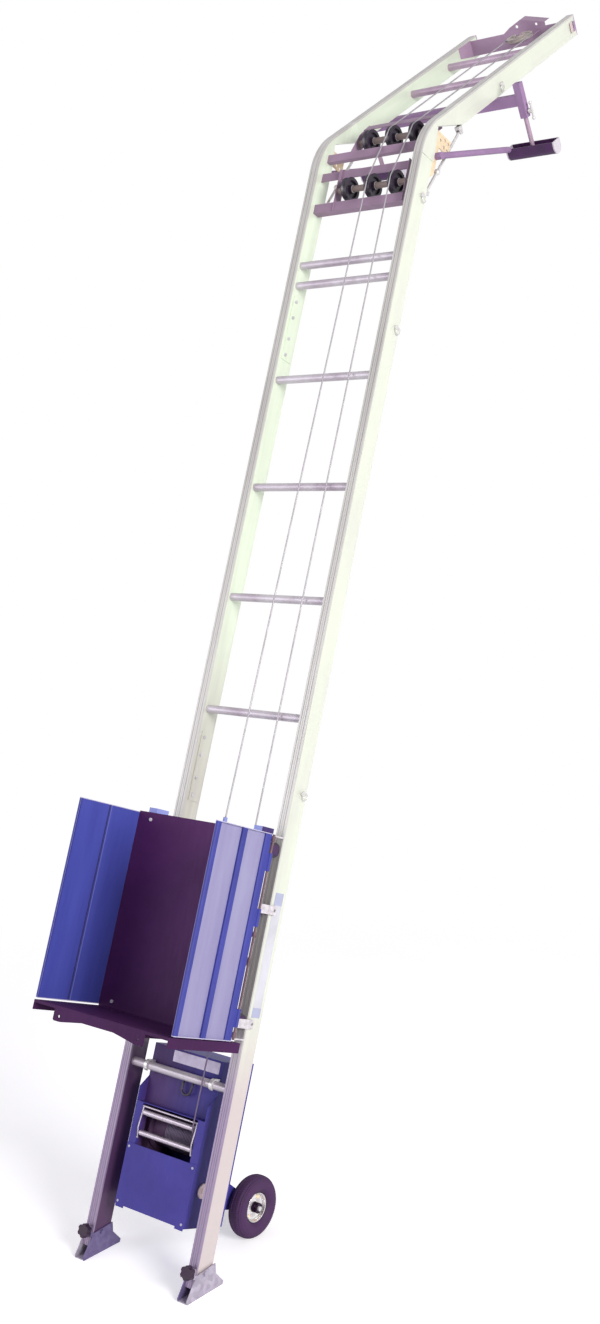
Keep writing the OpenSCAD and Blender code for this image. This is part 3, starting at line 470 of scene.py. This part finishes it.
# Places on the solids that the looks follow
RAIL_IN = 0.260
RAIL_OUT = 0.302
LIP = 0.008
LIP_LINES = ((0.2690, 0.2725), (0.2895, 0.2930))
KNEE_R = 0.300
KNEE_TAN = KNEE_R * math.tan(BEND / 2)
KNEE_AXIS = track(0, YF + KNEE_R, KNEE_S - KNEE_TAN)
BEND_O = head(0, 0, 0)
HEAD_UP = head(0, 0, 1) - BEND_O
HEAD_BACK = head(0, 1, 0) - BEND_O
WING_X = 0.356
WING_AT = Vector(joints["right_wing_hinge"]["pos_m"])
FRONT_Y = BACK.dot(WING_AT) + BACK.y * MID_Y - 0.004
WING_D = 0.351
WING_MID = FRONT_Y - WING_D / 2
PLAT_S = 0.985
CAR_TOP = 1.800
WING_S = 0.991
WING_E = 1.796
POST_OUT = 0.3035
CLAW_OUT = 0.3150
RUST_X = 0.3450
HOUSE_IN = 0.184
COVER_Y = -0.021
BRACKET_OUT = 0.096
SPACER_R = 0.014
HUB_FACE_R = 0.0165
RIM_HUB_R = 0.0215
PAD_X = 0.420
PAD_HALF = 0.125
LOW_AXLE = joints["lower_middle_sheave_spin"]["pos_m"]
UP_AXLE = joints["upper_middle_sheave_spin"]["pos_m"]

ACROSS = math.radians(90)
M_RAIL = track_rail("rail_aluminium", LEAN)
M_HEADRAIL = track_rail("head_aluminium", HEAD)
M_RUNG = drawn_aluminium("rung_aluminium", ACROSS, (0.58, 0.54, 0.59), (0.38, 0.30, 0.38), 0.35).m
# painted shade: a darker, more purple copy of the rung aluminium for the head rungs
M_HEADRUNG_SHADED = drawn_aluminium("head_rung_aluminium_painted_shade", ACROSS, (0.52, 0.40, 0.51), (0.35, 0.24, 0.34), 0.3).m
M_BLUE = housing_paint()
M_WING = wing_paint("wing_paint")
M_FRAME = frame_paint()
M_DARK = paint(
    "dark_paint", (0.052, 0.011, 0.066), 0.5, dust=(0.14, 0.07, 0.16), dust_amount=0.16, spec=0.16
).m
M_BACK = back_paint()
M_CARRIAGE = carriage_paint()
M_CAGE = cage_paint((LOW_AXLE, UP_AXLE))
M_GREY = paint("grey_steel", (0.30, 0.185, 0.34), 0.42, HEAD, dust=(0.46, 0.38, 0.46)).m
M_HOOD = paint("hood_paint", (0.35, 0.235, 0.345), 0.40, HEAD, dust=(0.55, 0.46, 0.53)).m
M_ZINC = zinc("zinc_steel", (0.62, 0.60, 0.64)).m
M_GALV = foot_zinc()
M_PLATED = zinc("plated_steel", (0.70, 0.68, 0.68), spangle=False, rough=0.3, metal=0.5).m
# painted shade: the posts' zinc darkened and tinted purple
M_POST_SHADED = zinc(
    "post_steel_painted_shade", (0.44, 0.31, 0.42), spangle=False, tint=(0.38, 0.26, 0.36), rough=0.4, metal=0.3
).m
M_YELLOW = zinc("yellow_zinc", (0.86, 0.71, 0.48), spangle=False, tint=(0.66, 0.43, 0.33), metal=0.3).m
M_SHEAVE = sheave_plastic((LOW_AXLE, UP_AXLE))
M_BLACK = plastic("black_plastic", (0.026, 0.018, 0.034), 0.34).m
M_HEADSHEAVE = plastic("head_sheave_plastic", (0.40, 0.35, 0.33), 0.45).m
M_KNOB = plastic("knob_plastic", (0.024, 0.007, 0.028), 0.56).m
M_PAD = pad_plastic()
M_CAP = plastic("cap_plastic", (0.40, 0.26, 0.44), 0.5).m
M_BRIGHT = bright("bright_steel", (0.44, 0.385, 0.45), 0.22).m
M_CAST = paint("drive_casting", (0.085, 0.042, 0.098), 0.5, dust=(0.18, 0.13, 0.19)).m
M_TYRE = plastic("tyre_rubber", (0.048, 0.015, 0.068), 0.72, 600).m
M_ROPE = rope_steel()
M_RIM = rim_steel(joints["right_wheel_spin"]["pos_m"])
M_PLATE = zinc(
    "bare_plate", (0.44, 0.39, 0.52), spangle=False, tint=(0.36, 0.31, 0.44), rough=0.4, metal=0.3
).m
M_CAPSTEEL = zinc(
    "cap_steel", (0.70, 0.56, 0.56), spangle=False, tint=(0.55, 0.40, 0.46), rough=0.35, metal=0.4
).m
M_STRIP = paint("bare_strip", (0.60, 0.60, 0.66), 0.5, dust=(0.5, 0.48, 0.56), dust_amount=0.3).m
M_STRIPEND = paint("strip_end", (0.42, 0.44, 0.60), 0.5, dust=(0.5, 0.48, 0.5)).m

LOOK = {
    M_RAIL: "left_base_rail right_base_rail left_middle_rail right_middle_rail left_knee_rail "
    "right_knee_rail splice_plates",
    M_HEADRAIL: "left_head_rail right_head_rail",
    M_RUNG: "track_rungs",
    M_HEADRUNG_SHADED: "head_rungs",
    M_BLUE: "drive_housing front_cover",
    M_WING: "left_wing right_wing",
    M_FRAME: "wheel_frame",
    M_DARK: "floor_plate",
    M_BACK: "back_plate",
    M_CARRIAGE: "carriage_frame",
    M_CAGE: "lower_sheave_cage upper_sheave_cage",
    M_GREY: "support_tube support_stays",
    M_HOOD: "head_plate sheave_hood",
    M_ZINC: "splice_bolts",
    M_GALV: "left_foot right_foot",
    M_PLATED: "knee_struts ring_clips left_clamp right_clamp rung_hooks",
    M_POST_SHADED: "support_posts",
    M_YELLOW: "knee_gussets",
    M_SHEAVE: "lower_left_sheave lower_middle_sheave lower_right_sheave upper_left_sheave "
    "upper_middle_sheave upper_right_sheave",
    M_HEADSHEAVE: "head_sheave",
    M_BLACK: "upper_rollers lower_rollers",
    M_KNOB: "left_knob right_knob",
    M_PAD: "roof_pads",
    M_CAP: "rail_caps",
    M_BRIGHT: "upper_guide_roller lower_guide_roller guide_frame",
    M_CAST: "gear_motor rope_drum",
    M_ROPE: "rope_winding hoist_rope carriage_rope",
    M_TYRE: "left_tyre right_tyre",
    M_RIM: "left_rim right_rim",
}
for look, names in LOOK.items():
    for n in names.split():
        nodes[n].data.materials.clear()
        nodes[n].data.materials.append(look)


# Meshes
def piece(name, verts, faces, look, body, slot_name=None, smooth=True, sharp=None):
    mesh = bpy.data.meshes.new(name)
    mesh.from_pydata([tuple(v) for v in verts], [], faces)
    bm = bmesh.new()
    bm.from_mesh(mesh)
    bmesh.ops.recalc_face_normals(bm, faces=bm.faces)
    bm.to_mesh(mesh)
    bm.free()
    mesh.materials.append(look)
    o = bpy.data.objects.new(name, mesh)
    scene.collection.objects.link(o)
    if smooth:
        mesh.polygons.foreach_set("use_smooth", [True] * len(mesh.polygons))
        if sharp:
            mesh.set_sharp_from_angle(angle=math.radians(sharp))
    if body:
        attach(o, body)
    return o


def resample(points, step):
    """Points every step along a polyline, its ends kept."""
    p = np.array([tuple(v) for v in points], float)
    d = np.concatenate([[0], np.cumsum(np.linalg.norm(np.diff(p, axis=0), axis=1))])
    k = max(2, int(round(d[-1] / step)) + 1)
    at = np.linspace(0, d[-1], k)
    return np.stack([np.interp(at, d, p[:, i]) for i in range(3)], axis=1), d[-1]


def laid_rope(points, r, step=0.005, strands=6, lay=0.045):
    """Vertices and faces of a rope whose strands turn round its line once every lay."""
    p, length = resample(points, step)
    n = len(p)
    tan = np.gradient(p, axis=0)
    tan /= np.linalg.norm(tan, axis=1)[:, None]
    side = np.cross(tan[0], (1.0, 0.0, 0.0))
    if np.linalg.norm(side) < 0.1:
        side = np.cross(tan[0], (0.0, 1.0, 0.0))
    side /= np.linalg.norm(side)
    k = strands * 2
    verts = []
    for i in range(n):
        side = side - tan[i] * (side @ tan[i])
        side /= np.linalg.norm(side)
        up = np.cross(tan[i], side)
        turn = 2 * math.pi * (i * length / (n - 1)) / lay
        for j in range(k):
            a = turn + 2 * math.pi * j / k
            rr = r if j % 2 == 0 else 0.80 * r
            verts.append(p[i] + rr * (math.cos(a) * side + math.sin(a) * up))
    faces = [
        (i * k + j, i * k + (j + 1) % k, (i + 1) * k + (j + 1) % k, (i + 1) * k + j)
        for i in range(n - 1)
        for j in range(k)
    ]
    faces += [tuple(range(k)), tuple(range((n - 1) * k, n * k))]
    return verts, faces


def lathe(profile, segments, place):
    """A closed outline of (radius, offset) pairs turned about the wheel axis X through place."""
    k = len(profile)
    verts, faces = [], []
    for i in range(segments):
        a = 2 * math.pi * i / segments
        for r, z in profile:
            verts.append((place[0] + z, place[1] + r * math.cos(a), place[2] + r * math.sin(a)))
    for i in range(segments):
        i2 = (i + 1) % segments
        for j in range(k):
            j2 = (j + 1) % k
            faces.append((i * k + j, i * k + j2, i2 * k + j2, i2 * k + j))
    return verts, faces


# Ropes
ROPE_R = 0.0035
LAY_R = 0.049
LOW_C = (0.012, KNEE_S - 0.217)
SHEAVE_Y = 0.056
UP_H = 0.126
UP_C = (
    YF + UP_H * math.sin(BEND) + SHEAVE_Y * math.cos(BEND),
    KNEE_S + UP_H * math.cos(BEND) - SHEAVE_Y * math.sin(BEND),
)
HEAD_C = (0.1025, 1.310)
HEAD_R = 0.0625
HEAD_Y = SHEAVE_Y - LAY_R
WIND_R = 0.0702
DRUM_X = 0.135
WIND_PITCH = 0.0077
TURNS = 24
GUIDE_C = (-0.008, 0.604)
GUIDE_LAY = 0.016
LOW_X, HIGH_X = 0.040, 0.165
ANCHOR = (-0.100, 1.835)


def run_angle(c1, r1, c2, r2):
    v = (c2[0] - c1[0], c2[1] - c1[1])
    return math.acos((r2 - r1) / math.hypot(*v)) - math.atan2(v[1], v[0])


def rim_point(x, c, r, a):
    return track(x, c[0] - r * math.cos(a), c[1] + r * math.sin(a))


def wrap(x, c, r, a0, a1, n):
    return [rim_point(x, c, r, a0 + (a1 - a0) * k / n) for k in range(n + 1)]


out_a = run_angle(DRUM_C, WIND_R, GUIDE_C, GUIDE_LAY)
low_run = run_angle(GUIDE_C, GUIDE_LAY, LOW_C, LAY_R)
knee_run = run_angle(LOW_C, LAY_R, UP_C, LAY_R)
car_run = run_angle(ANCHOR, 0, LOW_C, LAY_R)
along_out = BACK * math.sin(out_a) + U * math.cos(out_a)
start = rim_point(DRUM_X, DRUM_C, WIND_R, out_a) + along_out * 0.008
hoist_line = [start]
hoist_line += wrap(DRUM_X, GUIDE_C, GUIDE_LAY, out_a, low_run, 8)
hoist_line += wrap(HIGH_X, LOW_C, LAY_R, low_run, knee_run, 8)
hoist_line += wrap(HIGH_X, UP_C, LAY_R, knee_run, BEND, 10)
hoist_line += [
    head(HEAD_C[0] + HEAD_R * math.cos(b), HEAD_Y, HEAD_C[1] + HEAD_R * math.sin(b))
    for b in np.linspace(0, math.pi, 37)
]
hoist_line += wrap(LOW_X, UP_C, LAY_R, BEND, knee_run, 10)
hoist_line += wrap(LOW_X, LOW_C, LAY_R, knee_run, car_run, 8)
hoist_piece = piece("hoist_rope_laid", *laid_rope(hoist_line, ROPE_R), M_ROPE, "base", "rope_steel")
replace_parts(hoist_piece, "hoist_rope")

wind_line = [
    rim_point(DRUM_X - WIND_PITCH * (TURNS - t), DRUM_C, WIND_R, out_a - 2 * math.pi * (TURNS - t))
    for t in np.linspace(0, TURNS, TURNS * 48 + 1)
]
wind_line.append(wind_line[-1] + along_out * 0.007)
wind_piece = piece("rope_winding_laid", *laid_rope(wind_line, ROPE_R), M_ROPE, "drum", "rope_steel")
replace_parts(wind_piece, "rope_winding")

car_top = rim_point(LOW_X, LOW_C, LAY_R, car_run)
car_low = track(LOW_X, *ANCHOR)
car_piece = piece("carriage_rope_laid", *laid_rope([car_low, car_top], ROPE_R), M_ROPE, None, "rope_steel")
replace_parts(car_piece, "carriage_rope")
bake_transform(car_piece)

# Wheels
WHEEL_D = 0.260
TYRE_W = 0.080


def tyre(name, node, body, place, way):
    """A tyre with a crowned section, mould rings on its walls and a block tread."""
    R, bulge, half = WHEEL_D / 2, 0.035, TYRE_W / 2
    side = [(0.0625, half - 0.021), (0.0655, half - 0.016)]
    side += [
        (R - bulge + bulge * math.cos(a), half - bulge + bulge * math.sin(a))
        for a in np.radians(np.linspace(146, 6, 30))
    ]
    profile = side + [(R, 0.0025), (R, 0.0)] + [(r, -z) for r, z in reversed(side + [(R, 0.0025)])]
    n = 360
    k = len(profile)
    verts, faces = [], []
    for i in range(n):
        a = 2 * math.pi * i / n
        for r, z in profile:
            depth = 0.0
            if r > 0.098:
                cell = (i / n * 90 + (0.5 if abs(z) > 0.0215 else 0.0) + 40 * z) % 1.0
                row = min(abs(abs(z) - 0.0085), abs(abs(z) - 0.0215), abs(abs(z) - 0.0315))
                if cell < 0.26 or row < 0.0011:
                    depth = 0.0024 * min(1.0, (r - 0.098) / 0.012)
            elif 0.083 < r < 0.0855 or 0.074 < r < 0.0755:
                depth = -0.0009
            q = r - depth
            verts.append((place[0] + way * z, place[1] + q * math.cos(a), place[2] + q * math.sin(a)))
    for i in range(n):
        i2 = (i + 1) % n
        for j in range(k):
            j2 = (j + 1) % k
            faces.append((i * k + j, i * k + j2, i2 * k + j2, i2 * k + j))
    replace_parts(piece(name, verts, faces, M_TYRE, body, "tyre_rubber", True, 32), node)


def rim(name, node, body, place, way):
    """A pressed rim with a rolled lip, a deep dish, a hub tube and four bolts."""
    z = [  # outer lip, dish, web, hub, then back along the inside
        (0.0618, 0.0170), (0.0618, 0.0215), (0.0600, 0.0232), (0.0578, 0.0222), (0.0572, 0.0190),
        (0.0556, 0.0120), (0.0540, 0.0060), (0.0505, 0.0035), (0.0380, 0.0025), (0.0320, 0.0060),
        (0.0225, 0.0075), (0.0215, 0.0100), (0.0215, 0.0345), (0.0205, 0.0358), (0.0130, 0.0358),
        (0.0118, 0.0348), (0.0106, 0.0348), (0.0106, -0.0348), (0.0205, -0.0358), (0.0215, -0.0345),
        (0.0215, 0.0025), (0.0320, 0.0020), (0.0380, -0.0015), (0.0505, -0.0005), (0.0530, -0.0035),
        (0.0552, -0.0120), (0.0572, -0.0190), (0.0578, -0.0222), (0.0600, -0.0232), (0.0618, -0.0215),
        (0.0618, -0.0170), (0.0585, -0.0110), (0.0568, 0.0), (0.0585, 0.0110),
    ]
    v, f = lathe([(r, way * q) for r, q in z], 96, place)
    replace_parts(piece(name, v, f, M_RIM, body, "zinc_steel", True, 40), node)
    for i in range(4):
        a = math.pi / 4 + i * math.pi / 2
        c = Vector((place[0], place[1] + 0.0440 * math.cos(a), place[2] + 0.0440 * math.sin(a)))
        hexa = [(0.0085, 0.0), (0.0085, 0.0012), (0.0064, 0.0012), (0.0064, 0.0062), (0.0052, 0.0070)]
        vv, ff = [], []
        for m in range(6):
            b = m * math.pi / 3
            for r, q in hexa:
                vv.append((c.x + way * (0.0022 + q), c.y + r * math.cos(b), c.z + r * math.sin(b)))
        kk = len(hexa)
        for m in range(6):
            m2 = (m + 1) % 6
            for j in range(kk - 1):
                ff.append((m * kk + j, m * kk + j + 1, m2 * kk + j + 1, m2 * kk + j))
        ff.append(tuple(m * kk for m in range(6)))
        ff.append(tuple(m * kk + kk - 1 for m in range(6)))
        piece(f"{name}_bolt_{i}", vv, ff, M_YELLOW, body, "yellow_zinc", False)


for hand, way in (("left", -1), ("right", 1)):
    place = joints[f"{hand}_wheel_spin"]["pos_m"]
    tyre(f"{hand}_tyre_tread", f"{hand}_tyre", f"{hand}_wheel", place, way)
    rim(f"{hand}_rim_turned", f"{hand}_rim", f"{hand}_wheel", place, way)


# Trim
def rounded(w, h, r, n=5):
    """Outline of a rectangle with round corners, centred on the origin."""
    out = []
    for cx, cy, a0 in ((1, 1, 0), (-1, 1, 90), (-1, -1, 180), (1, -1, 270)):
        for k in range(n + 1):
            a = math.radians(a0 + 90 * k / n)
            out.append((cx * (w / 2 - r) + r * math.cos(a), cy * (h / 2 - r) + r * math.sin(a)))
    return out


def slab(name, centre, ax, ay, w, h, t, r, look, body, slot_name, edge=0.0006):
    """A flat plate with round corners and an eased outer edge, lying on the face at centre."""
    az = ax.cross(ay).normalized()
    rings = [(rounded(w, h, r), 0.0), (rounded(w, h, r), t - edge)]
    rings.append((rounded(w - 2 * edge, h - 2 * edge, max(r - edge, 0.0002)), t))
    verts = [centre + ax * x + ay * y + az * z for ring, z in rings for x, y in ring]
    k = len(rings[0][0])
    faces = [
        (i * k + j, i * k + (j + 1) % k, (i + 1) * k + (j + 1) % k, (i + 1) * k + j)
        for i in range(len(rings) - 1)
        for j in range(k)
    ]
    faces += [tuple(range(k)), tuple(range((len(rings) - 1) * k, len(rings) * k))]
    return piece(name, verts, faces, look, body, slot_name, True, 25)


def turned(name, centre, axis, profile, look, body, slot_name, sides=40):
    """A turned piece: (radius, height) pairs about axis through centre, its first and last on the axis."""
    q = axis.to_track_quat("Z", "Y")
    verts, faces = [], []
    ring = profile[1:-1]
    k = len(ring)
    for i in range(sides):
        a = 2 * math.pi * i / sides
        for r, z in ring:
            verts.append(centre + q @ Vector((r * math.cos(a), r * math.sin(a), z)))
    low, top = len(verts), len(verts) + 1
    verts += [centre + q @ Vector((0, 0, profile[0][1])), centre + q @ Vector((0, 0, profile[-1][1]))]
    for i in range(sides):
        i2 = (i + 1) % sides
        for j in range(k - 1):
            faces.append((i * k + j, i * k + j + 1, i2 * k + j + 1, i2 * k + j))
        faces += [(low, i * k, i2 * k), (top, i2 * k + k - 1, i * k + k - 1)]
    return piece(name, verts, faces, look, body, slot_name, True, 32)


def bent_rod(name, points, r, look, body, slot_name, sides=14):
    p = [Vector(v) for v in points]
    verts, faces = [], []
    side = None
    for i, c in enumerate(p):
        tan = (p[min(i + 1, len(p) - 1)] - p[max(i - 1, 0)]).normalized()
        side = (side or tan.orthogonal()) - tan * (side or tan.orthogonal()).dot(tan)
        side.normalize()
        up = tan.cross(side)
        for j in range(sides):
            a = 2 * math.pi * j / sides
            verts.append(c + (side * math.cos(a) + up * math.sin(a)) * r)
    for i in range(len(p) - 1):
        for j in range(sides):
            j2 = (j + 1) % sides
            faces.append((i * sides + j, i * sides + j2, (i + 1) * sides + j2, (i + 1) * sides + j))
    faces += [tuple(range(sides)), tuple(range((len(p) - 1) * sides, len(p) * sides))]
    return piece(name, verts, faces, look, body, slot_name, True, 40)


X = Vector((1, 0, 0))
FRONT = -BACK

# bare plate, bent grip and round cap of the drive housing
PANEL_Y = 0.026
PLATE_X, PLATE_S, PLATE_T = 0.0465, 0.849, 0.0012
RIVET_X = 0.118
plate_at = track(PLATE_X, PANEL_Y, PLATE_S)
slab("drive_plate", plate_at, X, U, 0.249, 0.046, PLATE_T, 0.004, M_PLATE, "base", "zinc_steel")
for hand, way in (("left", -1), ("right", 1)):
    turned(
        f"drive_plate_rivet_{hand}", track(PLATE_X + way * RIVET_X, PANEL_Y - PLATE_T, PLATE_S), FRONT,
        [(0, -0.0002), (0.0032, -0.0002), (0.0030, 0.0008), (0.0018, 0.0017), (0, 0.0020)],
        M_PLATED, "base", "zinc_steel", 18,
    )
GRIP_X, GRIP_S, GRIP_R = 0.0375, 0.740, 0.025
grip = [track(GRIP_X + GRIP_R, PANEL_Y, GRIP_S + 0.030), track(GRIP_X + GRIP_R, 0.012, GRIP_S + 0.026)]
grip += [
    track(GRIP_X + GRIP_R * math.cos(a), 0.008, GRIP_S - GRIP_R * math.sin(a))
    for a in np.linspace(0, math.pi, 17)
]
grip += [track(GRIP_X - GRIP_R, 0.012, GRIP_S + 0.026), track(GRIP_X - GRIP_R, PANEL_Y, GRIP_S + 0.030)]
bent_rod("drive_grip", grip, 0.0048, M_BLACK, "base", "black_plastic")
turned(
    "drive_side_cap", track(0.187, 0.051, 0.375), X,
    [(0, -0.001), (0.030, -0.001), (0.030, 0.0035), (0.0285, 0.0055), (0.022, 0.0062), (0.0205, 0.0050),
     (0.012, 0.0050), (0.0105, 0.0066), (0, 0.0070)],
    M_CAPSTEEL, "base", "zinc_steel", 56,
)
# bare strip on the outer face of the right rail, in a holder with an end block at each end
STRIP_X, STRIP_Y, STRIP_W = 0.297, 0.0225, 0.053
slab(
    "rail_strip", track(STRIP_X, STRIP_Y, 1.322), BACK, U, STRIP_W, 0.410, 0.0008, 0.002,
    M_STRIP, "base", "rail_aluminium", 0.0003,
)
for end, s, h in (("top", 1.552, 0.050), ("bottom", 1.0975, 0.039)):
    slab(
        f"rail_strip_{end}", track(STRIP_X, STRIP_Y, s), BACK, U, STRIP_W, h, 0.0010, 0.002,
        M_STRIPEND, "base", "grey_plastic", 0.0003,
    )

# two small end fittings on the outer face of each head rail
for hand, way in (("left", -1), ("right", 1)):
    for part, h, w, look in (("inner", 1.473, 0.026, M_CAPSTEEL), ("outer", 1.504, 0.020, M_CAP)):
        slab(
            f"{hand}_{part}_end_fitting", head(way * RAIL_OUT, 0.050, h), HEAD_BACK, HEAD_UP * way,
            0.048, w, 0.0012, 0.002, look, "base", "grey_plastic", 0.0003,
        )

# ears that carry each foot's front strap on its side plates
for hand in ("left", "right"):
    pivot = Vector(joints[f"{hand}_foot_pivot"]["pos_m"])
    ear_at = pivot - BACK * 0.0515 - U * 0.0115
    for part, x in (("left", -0.0249), ("right", 0.0219)):
        slab(
            f"{hand}_foot_{part}_ear", ear_at + X * x, BACK, U, 0.019, 0.015, 0.003, 0.002,
            M_GALV, f"{hand}_foot", "zinc_steel", 0.0004,
        )

# Camera at the photograph's view
cam_data = bpy.data.cameras.new("camera")
cam = bpy.data.objects.new("camera", cam_data)
scene.collection.objects.link(cam)
cam.location = (4.0779, -4.1872 - MID_Y, 3.0534)
cam.rotation_mode = "QUATERNION"
cam.rotation_quaternion = Vector((-0.61214, 0.78390, -0.10390)).to_track_quat("-Z", "Y")
cam_data.sensor_fit = "AUTO"
cam_data.sensor_width = 36
cam_data.lens = 41.754
cam_data.clip_end = 100
scene.camera = cam


# Floor and light
def seen(tree):
    """1 for rays that should meet the white background: straight, mirrored or let through."""
    path = tree.nodes.new("ShaderNodeLightPath")
    out = path.outputs["Is Camera Ray"]
    for name in ("Is Glossy Ray", "Is Transmission Ray"):
        top = tree.nodes.new("ShaderNodeMath")
        top.operation = "MAXIMUM"
        tree.links.new(out, top.inputs[0])
        tree.links.new(path.outputs[name], top.inputs[1])
        out = top.outputs[0]
    return out


floor_mesh = bpy.data.meshes.new("floor")
floor_mesh.from_pydata([(-60, -60, 0), (60, -60, 0), (60, 60, 0), (-60, 60, 0)], [], [(0, 1, 2, 3)])
floor = bpy.data.objects.new("floor", floor_mesh)
scene.collection.objects.link(floor)
floor_tree = Tree("floor_pale", (0.92, 0.92, 0.92), 0.9, 0.0, 0.1)
floor_tree.color(
    floor_tree.ramp(
        floor_tree.noise(floor_tree.mapped((2, 2, 2))), [(0.3, grey(0.91)), (0.7, grey(0.94))]
    )
)
glow = floor_tree.n("Emission", Strength=0.42)
near = floor_tree.n("AddShader")
floor_tree.link(floor_tree.b.outputs[0], near.inputs[0])
floor_tree.link(glow.outputs[0], near.inputs[1])
white = floor_tree.n("Emission", Strength=1.0)
reach = floor_tree.n("VectorMath", operation="LENGTH")
floor_tree.link(floor_tree.coord.outputs["Object"], reach.inputs[0])
fade = floor_tree.n("MixShader")
floor_tree.link(floor_tree.step(reach.outputs["Value"], 2.2, 4.5), fade.inputs["Fac"])
floor_tree.link(near.outputs[0], fade.inputs[1])
floor_tree.link(white.outputs[0], fade.inputs[2])
shown = floor_tree.n("MixShader")
floor_tree.link(seen(floor_tree.t), shown.inputs["Fac"])
floor_tree.link(floor_tree.b.outputs[0], shown.inputs[1])
floor_tree.link(fade.outputs[0], shown.inputs[2])
floor_tree.link(shown.outputs[0], floor_tree.t.nodes["Material Output"].inputs["Surface"])
floor_mesh.materials.append(floor_tree.m)

world = bpy.data.worlds.new("studio")
scene.world = world
world.use_nodes = True
wt = world.node_tree
wt.nodes.clear()
w_out = wt.nodes.new("ShaderNodeOutputWorld")
w_mix = wt.nodes.new("ShaderNodeMixShader")
w_fill = wt.nodes.new("ShaderNodeBackground")
w_white = wt.nodes.new("ShaderNodeBackground")
w_fill.inputs["Color"].default_value = (0.95, 0.92, 1.0, 1)
w_fill.inputs["Strength"].default_value = 0.42
w_white.inputs["Color"].default_value = (1, 1, 1, 1)
w_white.inputs["Strength"].default_value = 1.0
wt.links.new(seen(wt), w_mix.inputs["Fac"])
wt.links.new(w_fill.outputs[0], w_mix.inputs[1])
wt.links.new(w_white.outputs[0], w_mix.inputs[2])
wt.links.new(w_mix.outputs[0], w_out.inputs["Surface"])


def lamp(name, place, aim, size, power, tint=(1, 1, 1)):
    data = bpy.data.lights.new(name, "AREA")
    data.size = size
    data.energy = power
    data.color = tint
    o = bpy.data.objects.new(name, data)
    scene.collection.objects.link(o)
    o.location = place
    o.rotation_mode = "QUATERNION"
    o.rotation_quaternion = (Vector(aim) - Vector(place)).to_track_quat("-Z", "Y")


lamp("key", (12.0, -4.5, 6.0), (0, 0, 2.4), 5.0, 1500, (1.0, 0.99, 0.95))
lamp("fill", (-5.0, -8.5, 4.0), (0, -0.5, 2.2), 6.0, 260, (0.94, 0.93, 1.0))

scene.view_settings.view_transform = "Standard"
